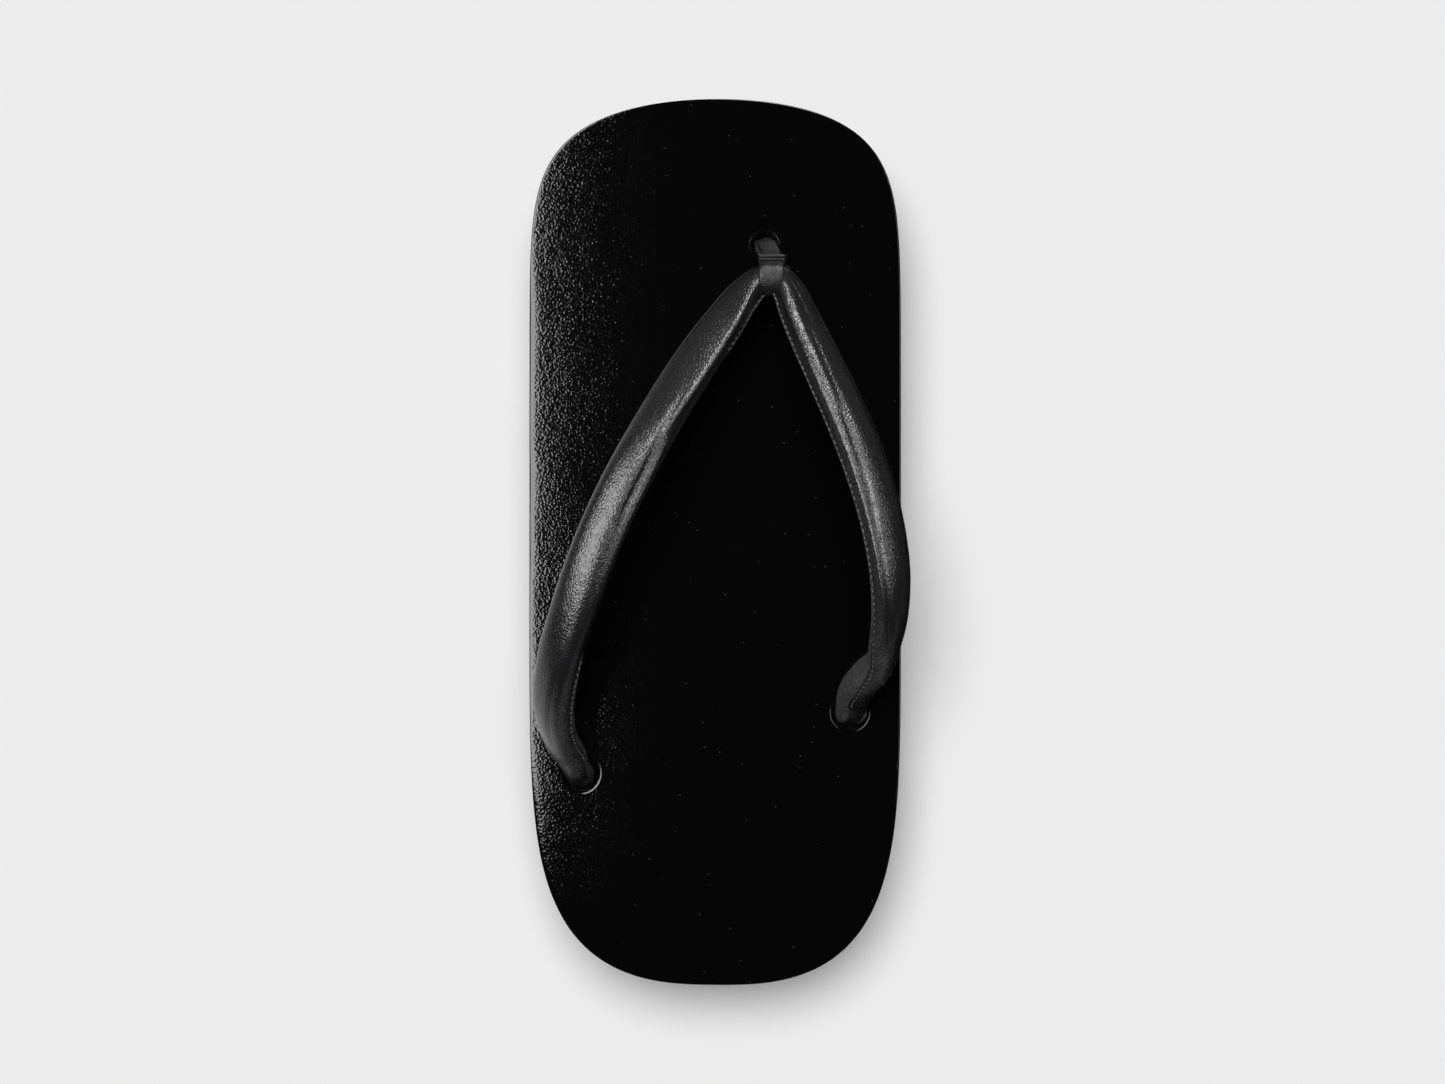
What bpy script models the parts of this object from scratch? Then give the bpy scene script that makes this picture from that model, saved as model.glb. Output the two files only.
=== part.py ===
"""Geta sandal for the left foot: a wooden base on two teeth, a glazed footbed, and straps held by a front loop.

Lengths are in millimetres and become metres where a mesh is made. The floor is z = 0, the toe points to +Y and
the inner side of the foot is at +X. Tables give positions from the middle of the sole.
"""

import math
from collections import namedtuple

import bmesh
import bpy
import numpy as np
from mathutils import Vector

MM = 0.001

# Sole outline, seen from above: |x / half width| ** corner + |y / half length| ** run = 1
HALF_LENGTH = 132.5
HALF_WIDTH = 55.75
OutlineEnd = namedtuple("OutlineEnd", "run corner")
TOE_END = OutlineEnd(run=10.0, corner=2.1)
HEEL_END = OutlineEnd(run=5.5, corner=2.7)
OUTLINE_POINTS = 96
OUTLINE_TURN_SHARE = 1.5
OUTLINE_FINE_STEPS = 600

# The straps reach past the inner edge of the sole, so the middle of the whole part is this far from the sole's
PART_MIDDLE_X = 1.36

# Heights above the floor
FOOTBED_TOP = 46.0
FOOTBED_THICK = 2.7
SEAT_GAP = 0.3
DAI_TOP = FOOTBED_TOP - FOOTBED_THICK - SEAT_GAP
PLATE_UNDERSIDE = 26.0
TOE_UNDERSIDE = 32.0
HEEL_UNDERSIDE = 31.0

# Teeth, from their rear face to their front face
Tooth = namedtuple("Tooth", "rear front")
REAR_TOOTH = Tooth(rear=-108.0, front=-84.0)
FRONT_TOOTH = Tooth(rear=44.0, front=68.0)
TOOTH_DRAFT = 0.8
SIDE_TAPER = 2.2
DAI_EDGE_RADIUS = 0.8
DAI_EDGE_ANGLE = math.radians(50)

# Edge of the footbed, from its underside up: how far inside the sole outline, and how far below its top
EdgeRow = namedtuple("EdgeRow", "inset below")
FOOTBED_EDGE = (
    EdgeRow(0.50, FOOTBED_THICK),
    EdgeRow(0.20, 2.40),
    EdgeRow(0.20, 1.10),
    EdgeRow(0.32, 0.60),
    EdgeRow(0.75, 0.32),
    EdgeRow(1.60, 0.12),
    EdgeRow(3.20, 0.02),
    EdgeRow(6.00, 0.00),
)

# Bores through the sole, and the pressed-in lip of each: radius at a depth below the footbed's top
Bore = namedtuple("Bore", "x y radius")
FRONT_BORE = Bore(x=15.1, y=88.5, radius=4.15)
OUTER_BORE = Bore(x=-40.4, y=-69.7, radius=5.05)
INNER_BORE = Bore(x=40.5, y=-50.9, radius=5.05)
BORE_SIDES = 28
LipRow = namedtuple("LipRow", "grow depth")
REAR_LIP = (
    LipRow(0.00, 1.9),
    LipRow(0.18, 1.1),
    LipRow(0.55, 0.50),
    LipRow(1.20, 0.15),
    LipRow(2.00, -0.05),
)
FRONT_LIP = (
    LipRow(0.00, 2.0),
    LipRow(0.25, 1.1),
    LipRow(0.85, 0.50),
    LipRow(1.80, 0.18),
    LipRow(3.00, -0.05),
)

# Sections of a strap, from its lower inner edge over the leather face to its outer edge and back underneath. Near
# the front loop the face is flat and ends in a ridge at its inner side; further back the stuffing rounds it.
SectionRow = namedtuple("SectionRow", "across up")
OUTER_FRONT_SECTION = (
    SectionRow(-0.93, -0.30),
    SectionRow(-0.95, 0.16),
    SectionRow(-0.97, 0.60),
    SectionRow(-0.90, 0.91),
    SectionRow(-0.68, 1.00),
    SectionRow(-0.34, 0.99),
    SectionRow(0.04, 0.94),
    SectionRow(0.38, 0.85),
    SectionRow(0.66, 0.71),
    SectionRow(0.88, 0.46),
    SectionRow(0.99, 0.12),
    SectionRow(0.98, -0.28),
    SectionRow(0.84, -0.64),
    SectionRow(0.50, -0.84),
    SectionRow(0.14, -0.90),
    SectionRow(-0.22, -0.90),
    SectionRow(-0.58, -0.86),
    SectionRow(-0.85, -0.67),
)
OUTER_MIDDLE_SECTION = (
    SectionRow(-0.91, -0.30),
    SectionRow(-0.95, 0.12),
    SectionRow(-0.96, 0.52),
    SectionRow(-0.88, 0.76),
    SectionRow(-0.72, 0.84),
    SectionRow(-0.46, 0.92),
    SectionRow(-0.14, 0.98),
    SectionRow(0.22, 1.00),
    SectionRow(0.54, 0.93),
    SectionRow(0.78, 0.77),
    SectionRow(0.94, 0.46),
    SectionRow(1.00, 0.04),
    SectionRow(0.92, -0.46),
    SectionRow(0.68, -0.77),
    SectionRow(0.30, -0.89),
    SectionRow(-0.14, -0.91),
    SectionRow(-0.52, -0.83),
    SectionRow(-0.80, -0.60),
)
INNER_FRONT_SECTION = (
    SectionRow(-0.95, -0.30),
    SectionRow(-0.95, 0.14),
    SectionRow(-0.90, 0.54),
    SectionRow(-0.77, 0.82),
    SectionRow(-0.55, 0.96),
    SectionRow(-0.26, 0.99),
    SectionRow(0.06, 0.96),
    SectionRow(0.36, 0.88),
    SectionRow(0.64, 0.75),
    SectionRow(0.86, 0.49),
    SectionRow(0.98, 0.14),
    SectionRow(0.98, -0.26),
    SectionRow(0.84, -0.62),
    SectionRow(0.52, -0.83),
    SectionRow(0.16, -0.90),
    SectionRow(-0.20, -0.91),
    SectionRow(-0.56, -0.88),
    SectionRow(-0.86, -0.68),
)
INNER_MIDDLE_SECTION = (
    SectionRow(-0.94, -0.34),
    SectionRow(-0.91, 0.10),
    SectionRow(-0.83, 0.45),
    SectionRow(-0.71, 0.77),
    SectionRow(-0.52, 0.95),
    SectionRow(-0.24, 1.00),
    SectionRow(0.06, 0.99),
    SectionRow(0.38, 0.91),
    SectionRow(0.68, 0.70),
    SectionRow(0.89, 0.38),
    SectionRow(0.99, 0.00),
    SectionRow(0.96, -0.36),
    SectionRow(0.80, -0.68),
    SectionRow(0.47, -0.85),
    SectionRow(0.12, -0.91),
    SectionRow(-0.22, -0.91),
    SectionRow(-0.56, -0.88),
    SectionRow(-0.84, -0.70),
)
REAR_SECTION = (
    SectionRow(-0.96, -0.30),
    SectionRow(-0.97, 0.06),
    SectionRow(-0.91, 0.42),
    SectionRow(-0.77, 0.75),
    SectionRow(-0.54, 0.94),
    SectionRow(-0.24, 1.00),
    SectionRow(0.08, 0.98),
    SectionRow(0.40, 0.88),
    SectionRow(0.68, 0.69),
    SectionRow(0.89, 0.40),
    SectionRow(0.99, 0.02),
    SectionRow(0.97, -0.36),
    SectionRow(0.80, -0.68),
    SectionRow(0.47, -0.85),
    SectionRow(0.12, -0.91),
    SectionRow(-0.24, -0.90),
    SectionRow(-0.60, -0.84),
    SectionRow(-0.86, -0.64),
)
# Where each section holds, by distance from the apex (minus is the outer strap)
SectionStation = namedtuple("SectionStation", "distance section")
SECTION_STATIONS = (
    SectionStation(-135.0, REAR_SECTION),
    SectionStation(-88.0, OUTER_MIDDLE_SECTION),
    SectionStation(-66.0, OUTER_MIDDLE_SECTION),
    SectionStation(-34.0, OUTER_FRONT_SECTION),
    SectionStation(-6.0, OUTER_FRONT_SECTION),
    SectionStation(6.0, INNER_FRONT_SECTION),
    SectionStation(36.0, INNER_FRONT_SECTION),
    SectionStation(72.0, INNER_MIDDLE_SECTION),
    SectionStation(105.0, INNER_MIDDLE_SECTION),
    SectionStation(128.0, REAR_SECTION),
)
STEM_SECTION = (
    SectionRow(-1.00, 0.00),
    SectionRow(-0.98, 0.55),
    SectionRow(-0.86, 0.90),
    SectionRow(-0.50, 1.00),
    SectionRow(0.00, 1.00),
    SectionRow(0.50, 1.00),
    SectionRow(0.86, 0.90),
    SectionRow(0.98, 0.55),
    SectionRow(1.00, 0.00),
    SectionRow(0.98, -0.55),
    SectionRow(0.86, -0.90),
    SectionRow(0.50, -1.00),
    SectionRow(0.00, -1.00),
    SectionRow(-0.50, -1.00),
    SectionRow(-0.86, -0.90),
    SectionRow(-0.98, -0.55),
)

# One row per place along a strap. rise is the height of the section's middle above the footbed, heading the compass
# direction in which the leather face leans (0 is +X, 90 is +Y), lean its tilt from level, rounding 1 where it is a cord.
StrapRow = namedtuple("StrapRow", "x y rise width thick heading lean rounding")
OUTER_STRAP = (
    StrapRow(-40.4, -69.7, -10.0, 7.0, 7.0, 200, 90, 1.0),
    StrapRow(-40.4, -69.7, -4.0, 7.4, 7.4, 200, 84, 0.9),
    StrapRow(-40.4, -69.2, 0.5, 8.7, 8.0, 198, 70, 0.6),
    StrapRow(-41.8, -65.4, 6.8, 12.8, 8.0, 194, 58, 0.3),
    StrapRow(-43.8, -60.6, 11.0, 14.8, 9.0, 188, 48, 0.1),
    StrapRow(-45.5, -55.0, 17.5, 15.0, 8.8, 182, 41, 0.0),
    StrapRow(-45.7, -48.0, 25.0, 14.6, 8.8, 177, 35, 0.0),
    StrapRow(-42.7, -34.0, 35.5, 14.0, 8.8, 168, 25, 0.0),
    StrapRow(-38.0, -20.0, 40.5, 13.8, 8.8, 164, 18, 0.0),
    StrapRow(-34.4, -10.0, 42.0, 13.8, 8.8, 162, 15, 0.0),
    StrapRow(-27.3, 7.6, 41.6, 13.8, 8.8, 158, 13, 0.0),
    StrapRow(-20.6, 21.6, 39.6, 13.8, 8.8, 156, 13, 0.0),
    StrapRow(-13.6, 35.3, 34.6, 13.7, 8.8, 154, 15, 0.0),
    StrapRow(-0.8, 56.6, 26.6, 13.0, 8.4, 148, 20, 0.0),
    StrapRow(4.2, 64.1, 23.8, 12.1, 8.0, 144, 23, 0.0),
    StrapRow(8.8, 70.9, 21.0, 10.6, 7.6, 136, 27, 0.0),
    StrapRow(12.2, 74.6, 19.6, 9.6, 6.8, 124, 32, 0.1),
    StrapRow(15.0, 76.8, 18.5, 9.0, 6.0, 105, 37, 0.2),
)
STRAP_APEX = StrapRow(18.0, 77.3, 18.0, 8.8, 5.8, 88, 40, 0.3)
INNER_STRAP = (
    StrapRow(21.0, 76.4, 18.5, 9.0, 6.0, 70, 40, 0.2),
    StrapRow(23.3, 73.4, 20.0, 9.8, 6.8, 50, 38, 0.1),
    StrapRow(25.3, 68.9, 21.6, 10.8, 7.6, 34, 36, 0.0),
    StrapRow(27.8, 63.3, 24.0, 11.7, 8.0, 27, 35, 0.0),
    StrapRow(34.2, 49.6, 30.0, 12.4, 8.4, 25, 30, 0.0),
    StrapRow(40.7, 35.4, 34.0, 12.7, 8.6, 22, 25, 0.0),
    StrapRow(46.2, 21.5, 37.0, 12.7, 8.6, 18, 21, 0.0),
    StrapRow(51.1, 4.1, 40.0, 12.2, 8.6, 11, 21, 0.0),
    StrapRow(53.2, -11.4, 40.0, 11.4, 8.6, 5, 27, 0.0),
    StrapRow(53.1, -20.1, 37.5, 10.8, 8.6, 0, 38, 0.0),
    StrapRow(51.7, -28.6, 31.5, 11.0, 8.4, -6, 56, 0.0),
    StrapRow(49.5, -34.4, 25.0, 11.4, 8.4, -12, 82, 0.1),
    StrapRow(45.2, -40.0, 16.5, 11.4, 9.0, -20, 110, 0.3),
    StrapRow(41.9, -45.0, 8.0, 10.6, 9.2, -26, 128, 0.5),
    StrapRow(40.7, -50.0, 2.0, 8.7, 8.4, -30, 132, 0.7),
    StrapRow(40.5, -50.8, -3.5, 7.4, 7.4, -30, 120, 0.9),
    StrapRow(40.5, -50.9, -10.0, 7.0, 7.0, -30, 110, 1.0),
)
STRAP_STEPS = 4

# Knot at the end of a cord, below the plate: depth below the footbed's top, and radius
KnotRow = namedtuple("KnotRow", "below radius")
STRAP_KNOT = (
    KnotRow(0.0, 3.5),
    KnotRow(0.0, 6.0),
    KnotRow(0.9, 7.6),
    KnotRow(2.8, 8.3),
    KnotRow(5.2, 8.0),
    KnotRow(7.2, 6.6),
    KnotRow(8.5, 4.2),
    KnotRow(9.0, 1.5),
)
STEM_KNOT = (
    KnotRow(0.0, 5.2),
    KnotRow(0.8, 6.6),
    KnotRow(2.6, 7.3),
    KnotRow(4.8, 7.0),
    KnotRow(6.6, 5.8),
    KnotRow(7.8, 3.6),
    KnotRow(8.2, 1.4),
)

# Front loop: a band round the straps at their apex, and the stem that pulls it down into the front bore. The
# band's rows follow its outer face round the straps, seen from the side: run towards the toe and rise above the
# apex, with half the band's width there.
BandRow = namedtuple("BandRow", "run rise half_width")
BAND_PATH = (
    BandRow(0.3, 5.7, 3.65),
    BandRow(1.9, 5.45, 3.65),
    BandRow(3.2, 4.75, 3.65),
    BandRow(4.1, 3.6, 3.65),
    BandRow(4.6, 2.5, 3.7),
    BandRow(5.0, 1.95, 3.9),
    BandRow(5.6, 1.85, 4.1),
    BandRow(6.3, 1.95, 4.1),
    BandRow(6.75, 1.5, 4.0),
    BandRow(6.7, 0.7, 3.8),
    BandRow(6.1, -0.7, 3.7),
    BandRow(5.6, -2.4, 3.65),
    BandRow(4.4, -4.5, 3.65),
    BandRow(2.2, -5.6, 3.6),
    BandRow(-0.2, -5.2, 3.5),
    BandRow(-2.6, -3.6, 3.0),
    BandRow(-4.6, -1.4, 2.4),
    BandRow(-5.8, 1.0, 2.0),
    BandRow(-5.7, 2.8, 2.1),
    BandRow(-4.8, 4.1, 2.5),
    BandRow(-3.2, 5.1, 3.1),
    BandRow(-1.4, 5.6, 3.55),
)
BAND_MIDDLE_X = 18.2
BAND_WALL = 1.7
BAND_RIM_WALL = 1.1
BAND_RIM_WIDTH = 0.4
BAND_STEPS = 2
LOOP_CAVITY_REACH = 9.0
LOOP_CAVITY_GAP = 0.35
CAVITY_STEPS = 12
StemRow = namedtuple("StemRow", "x y rise width thick lean")
LOOP_STEM = (
    StemRow(17.9, 82.1, 14.0, 6.3, 2.3, 50),
    StemRow(17.3, 84.3, 10.5, 6.4, 3.0, 58),
    StemRow(16.2, 86.7, 6.0, 6.4, 3.1, 66),
    StemRow(15.4, 88.3, 2.0, 6.4, 3.1, 76),
    StemRow(15.1, 88.8, -2.0, 6.4, 3.1, 88),
    StemRow(15.1, 88.8, -10.0, 6.2, 3.1, 90),
)
STEM_STEPS = 3


def part_point(x, y, z):
    """A point of the part in metres, from millimetres measured at the middle of the sole."""
    return Vector(((x - PART_MIDDLE_X) * MM, y * MM, z * MM))


def clear_scene():
    for obj in list(bpy.data.objects):
        bpy.data.objects.remove(obj)


def new_collection(name):
    collection = bpy.data.collections.new(name)
    bpy.context.scene.collection.children.link(collection)
    return collection


def make_material(name, colour, roughness, coat):
    material = bpy.data.materials.new(name)
    material.use_nodes = True
    shader = material.node_tree.nodes["Principled BSDF"]
    shader.inputs["Base Color"].default_value = (*colour, 1.0)
    shader.inputs["Roughness"].default_value = roughness
    shader.inputs["Coat Weight"].default_value = coat
    return material


def make_object(name, points, faces, collection, material=None):
    """A closed mesh from millimetre points, with its faces turned outwards."""
    mesh = bpy.data.meshes.new(name)
    shape = bmesh.new()
    corners = [shape.verts.new(part_point(*point)) for point in points]
    for face in faces:
        shape.faces.new([corners[index] for index in face])
    bmesh.ops.recalc_face_normals(shape, faces=shape.faces)
    shape.to_mesh(mesh)
    shape.free()
    obj = bpy.data.objects.new(name, mesh)
    collection.objects.link(obj)
    if material:
        mesh.materials.append(material)
    return obj


def make_cutter(obj):
    obj.hide_render = True
    obj.display_type = "WIRE"
    return obj


def add_boolean(obj, other, operation):
    modifier = obj.modifiers.new(f"{operation.lower()} {other.name}", "BOOLEAN")
    modifier.object = other
    modifier.operation = operation
    modifier.solver = "EXACT"


def loft(name, rings, collection, material=None, closed=False):
    """A solid through rings of equal count: a flat face at each end, or the last ring joined to the first."""
    count = len(rings[0])
    points = [point for ring in rings for point in ring]
    faces = [] if closed else [list(range(count)), list(range(len(points) - count, len(points)))]
    for row in range(len(rings) if closed else len(rings) - 1):
        here = row * count
        there = (here + count) % len(points)
        for index in range(count):
            after = (index + 1) % count
            faces.append([here + index, here + after, there + after, there + index])
    return make_object(name, points, faces, collection, material)


def outline_half_width(y):
    """Half the sole's width at y."""
    end = TOE_END if y > 0 else HEEL_END
    inside = max(0.0, 1.0 - abs(y / HALF_LENGTH) ** end.run)
    return HALF_WIDTH * inside ** (1.0 / end.corner)


def outline_quarter(end):
    """Points and outward normals of one quarter of the outline, from the tip of the end to the side."""
    turn = np.linspace(math.pi / 2, 0.0, OUTLINE_FINE_STEPS)
    x = HALF_WIDTH * np.cos(turn) ** (2.0 / end.corner)
    y = HALF_LENGTH * np.sin(turn) ** (2.0 / end.run)
    x[0] = 0.0
    nx = end.corner / HALF_WIDTH * (x / HALF_WIDTH) ** (end.corner - 1.0)
    ny = end.run / HALF_LENGTH * (y / HALF_LENGTH) ** (end.run - 1.0)
    length = np.hypot(nx, ny)
    return np.stack([x, y, nx / length, ny / length], axis=1)


def sole_outline():
    """Evenly shared points of the outline, with normals, from the toe round the inner side and back."""
    toe = outline_quarter(TOE_END)
    heel = outline_quarter(HEEL_END)[::-1] * (1, -1, 1, -1)
    inner = np.concatenate([toe, heel[1:]])
    outer = inner[::-1] * (-1, 1, -1, 1)
    curve = np.concatenate([inner, outer[1:]])
    step = np.hypot(*np.diff(curve[:, :2], axis=0).T)
    bend = np.hypot(*np.diff(curve[:, 2:], axis=0).T)
    share = step / step.sum() + OUTLINE_TURN_SHARE * bend / bend.sum()
    along = np.concatenate([[0.0], np.cumsum(share)])
    wanted = np.linspace(0.0, along[-1], OUTLINE_POINTS, endpoint=False)
    rows = np.stack([np.interp(wanted, along, curve[:, k]) for k in range(4)], axis=1)
    rows[:, 2:] /= np.hypot(rows[:, 2], rows[:, 3])[:, None]
    return rows


def outline_ring(outline, inset, z):
    """The outline moved inwards by inset, at height z."""
    inward = outline[:, :2] - inset * outline[:, 2:]
    return [(x, y, z) for x, y in inward]


def underside_stations(outline):
    """(y, height behind y, height in front of y) of the underside, from heel to toe."""
    corners = {
        -HALF_LENGTH: (HEEL_UNDERSIDE, HEEL_UNDERSIDE),
        REAR_TOOTH.rear - TOOTH_DRAFT: (PLATE_UNDERSIDE, PLATE_UNDERSIDE),
        REAR_TOOTH.rear: (0.0, 0.0),
        REAR_TOOTH.front: (0.0, 0.0),
        REAR_TOOTH.front + TOOTH_DRAFT: (PLATE_UNDERSIDE, PLATE_UNDERSIDE),
        FRONT_TOOTH.rear - TOOTH_DRAFT: (PLATE_UNDERSIDE, PLATE_UNDERSIDE),
        FRONT_TOOTH.rear: (0.0, 0.0),
        FRONT_TOOTH.front: (0.0, 0.0),
        FRONT_TOOTH.front + TOOTH_DRAFT: (PLATE_UNDERSIDE, PLATE_UNDERSIDE),
        HALF_LENGTH: (TOE_UNDERSIDE, TOE_UNDERSIDE),
    }
    known = sorted(corners)
    heights = [corners[y][0] for y in known]
    spacing = 2.0 * TOOTH_DRAFT
    from_outline = [
        float(y)
        for x, y in outline[:, :2]
        if x >= 0 and min(abs(y - corner) for corner in known) > spacing
    ]
    stations = sorted(known + from_outline)
    return stations, np.interp(stations, known, heights)


def make_dai(outline, collection, material):
    """The base block: at each station a top, a side and an underside run across its width."""
    stations, underside = underside_stations(outline)
    points = []
    for y, low in zip(stations, underside):
        half = outline_half_width(y)
        for z in (DAI_TOP, low):
            narrow = 1.0 - SIDE_TAPER / HALF_WIDTH * (DAI_TOP - z) / DAI_TOP
            points.append((half * narrow, y, z))
            points.append((-half * narrow, y, z))
    top_in, top_out, low_in, low_out = range(4)
    faces = []
    last = len(stations) - 1
    for k in range(last):
        a = 4 * k
        b = a + 4
        faces.append([a + top_in, b + top_in, b + top_out, a + top_out])
        faces.append([a + low_in, a + low_out, b + low_out, b + low_in])
        faces.append([a + top_in, a + low_in, b + low_in, b + top_in])
        faces.append([a + top_out, b + top_out, b + low_out, a + low_out])
    for end in (0, 4 * last):
        faces.append([end + top_in, end + top_out, end + low_out, end + low_in])
    dai = make_object("dai", points, faces, collection, material)
    shape = bmesh.new()
    shape.from_mesh(dai.data)
    bmesh.ops.remove_doubles(shape, verts=shape.verts, dist=0.01 * MM)
    shape.to_mesh(dai.data)
    shape.free()
    edge = dai.modifiers.new("eased edges", "BEVEL")
    edge.width = DAI_EDGE_RADIUS * MM
    edge.segments = 2
    edge.limit_method = "ANGLE"
    edge.angle_limit = DAI_EDGE_ANGLE
    return dai


def make_lathe(name, bore, profile, collection):
    """A solid of revolution about the bore's axis, from (radius, height) rows."""
    turns = [2.0 * math.pi * k / BORE_SIDES for k in range(BORE_SIDES)]
    rings = [
        [(bore.x + radius * math.cos(turn), bore.y + radius * math.sin(turn), z) for turn in turns]
        for radius, z in profile
    ]
    return loft(name, rings, collection)


def make_bore_cutters(name, bore, lip, collection):
    """(plain bore for the base, bore with its lip for the footbed)."""
    reach = 5.0
    low = PLATE_UNDERSIDE - reach
    high = FOOTBED_TOP + reach
    plain = make_lathe(f"{name}_bore", bore, [(bore.radius, low), (bore.radius, high)], collection)
    rows = [(bore.radius, DAI_TOP - reach)]
    rows += [(bore.radius + row.grow, FOOTBED_TOP - row.depth) for row in lip]
    rows.append((rows[-1][0], high))
    lipped = make_lathe(f"{name}_lip", bore, rows, collection)
    return make_cutter(plain), make_cutter(lipped)


def make_footbed(outline, collection, material):
    rings = [outline_ring(outline, row.inset, FOOTBED_TOP - row.below) for row in FOOTBED_EDGE]
    return loft("footbed", rings, collection, material)


def smooth_rows(rows, steps):
    """Rows of numbers joined by a smooth curve through each of them, with steps rows from one to the next."""
    table = np.array(rows, float)
    gaps = np.linalg.norm(np.diff(table[:, :3], axis=0), axis=1)
    along = np.concatenate([[0.0], np.cumsum(gaps)])
    slope = np.diff(table, axis=0) / gaps[:, None]
    ahead = gaps[1:, None]
    behind = gaps[:-1, None]
    inner = (slope[:-1] * ahead + slope[1:] * behind) / (ahead + behind)
    slopes = np.concatenate([slope[:1], inner, slope[-1:]])
    out = []
    for k, gap in enumerate(gaps):
        for t in np.arange(steps) / steps:
            start = (2 * t**3 - 3 * t**2 + 1) * table[k] + (t**3 - 2 * t**2 + t) * gap * slopes[k]
            end = (3 * t**2 - 2 * t**3) * table[k + 1] + (t**3 - t**2) * gap * slopes[k + 1]
            out.append(start + end)
    out.append(table[-1])
    return np.array(out)


def frames_along(rows):
    """Middle, across direction and face direction of the section at each smoothed strap row."""
    middles = rows[:, :3] + (0.0, 0.0, FOOTBED_TOP)
    frames = []
    for k, middle in enumerate(middles):
        after = middles[min(k + 1, len(rows) - 1)]
        before = middles[max(k - 1, 0)]
        along = Vector(after - before).normalized()
        heading = math.radians(rows[k, 5])
        lean = math.radians(rows[k, 6])
        tilt = math.sin(lean)
        face = Vector((tilt * math.cos(heading), tilt * math.sin(heading), math.cos(lean)))
        face = (face - face.dot(along) * along).normalized()
        frames.append((Vector(middle), face.cross(along), face))
    return frames


def section_ring(frame, section, half_width, half_thick, rounding=0.0):
    """The section's points at a frame; rounding moves them towards an ellipse."""
    middle, across, face = frame
    ring = []
    for wide, tall in section:
        length = math.hypot(wide, tall)
        wide = (1.0 - rounding) * wide + rounding * wide / length
        tall = (1.0 - rounding) * tall + rounding * tall / length
        point = middle + across * (wide * half_width) + face * (tall * half_thick)
        ring.append(tuple(point))
    return ring


def section_at(place):
    """The strap's section at a distance from the apex, blended between the two stations next to it."""
    section = np.array(SECTION_STATIONS[0].section)
    for before, after in zip(SECTION_STATIONS, SECTION_STATIONS[1:]):
        share = min(1.0, max(0.0, (place - before.distance) / (after.distance - before.distance)))
        share = share * share * (3.0 - 2.0 * share)
        section = section + share * (np.array(after.section) - np.array(before.section))
    return section


def strap_rows():
    """Smoothed rows of both straps, and the distance of each from the apex."""
    rows = smooth_rows((*OUTER_STRAP, STRAP_APEX, *INNER_STRAP), STRAP_STEPS)
    gaps = np.linalg.norm(np.diff(rows[:, :3], axis=0), axis=1)
    places = np.concatenate([[0.0], np.cumsum(gaps)])
    return rows, places - places[len(OUTER_STRAP) * STRAP_STEPS]


def strap_rings(rows, places, grow=0.0):
    """Section rings of the straps, made larger all round by grow."""
    return [
        section_ring(frame, section_at(place), row[3] / 2 + grow, row[4] / 2 + grow, row[7])
        for row, place, frame in zip(rows, places, frames_along(rows))
    ]


def level_frame(frame):
    """The frame turned so that its section lies level."""
    middle, across, face = frame
    return middle, Vector((across.x, across.y, 0.0)).normalized(), Vector((face.x, face.y, 0.0)).normalized()


def knot_rings(knot, frame, section):
    """Rings of a knot that hangs under the plate, below the cord's last frame."""
    middle, across, face = level_frame(frame)
    rings = []
    for row in knot:
        level = Vector((middle.x, middle.y, PLATE_UNDERSIDE - SEAT_GAP - row.below))
        rings.append(section_ring((level, across, face), section, row.radius, row.radius, 1.0))
    return rings


def make_straps(collection, material):
    """Outer and inner strap as one tube, with a knot at each rear end."""
    rows, places = strap_rows()
    frames = frames_along(rows)
    outer_knot = knot_rings(STRAP_KNOT, frames[0], REAR_SECTION)[::-1]
    inner_knot = knot_rings(STRAP_KNOT, frames[-1], REAR_SECTION)
    rings = outer_knot + strap_rings(rows, places) + inner_knot
    return loft("straps", rings, collection, material)


def strap_near_apex(reach, steps, grow):
    """Section rings up to reach along the strap on each side of the apex, made larger by grow."""
    rows, places = strap_rows()
    wanted = np.linspace(-reach, reach, 2 * steps + 1)
    near = np.stack([np.interp(wanted, places, rows[:, k]) for k in range(rows.shape[1])], axis=1)
    return strap_rings(near, wanted, grow)


def band_rings():
    """Section rings of the band, one for each step round the straps, each in a plane across the band."""
    overlapping = (BAND_PATH[-1], *BAND_PATH, *BAND_PATH[:2])
    path = smooth_rows(overlapping, BAND_STEPS)[BAND_STEPS : BAND_STEPS * (len(BAND_PATH) + 1)]
    ahead = np.roll(path[:, :2], -1, axis=0) - np.roll(path[:, :2], 1, axis=0)
    outward = np.stack([-ahead[:, 1], ahead[:, 0]], axis=1)
    outward /= np.linalg.norm(outward, axis=1)[:, None]
    rims = (BAND_WALL - BAND_RIM_WALL) / 2
    rings = []
    for (run, rise, half_width), (out_run, out_rise) in zip(path, outward):
        corners = (
            (half_width, rims),
            (half_width - BAND_RIM_WIDTH, 0.0),
            (BAND_RIM_WIDTH - half_width, 0.0),
            (-half_width, rims),
            (-half_width, BAND_WALL - rims),
            (BAND_RIM_WIDTH - half_width, BAND_WALL),
            (half_width - BAND_RIM_WIDTH, BAND_WALL),
            (half_width, BAND_WALL - rims),
        )
        rings.append([
            (
                BAND_MIDDLE_X + side,
                STRAP_APEX.y + run - out_run * inward,
                FOOTBED_TOP + STRAP_APEX.rise + rise - out_rise * inward,
            )
            for side, inward in corners
        ])
    return rings


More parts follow.
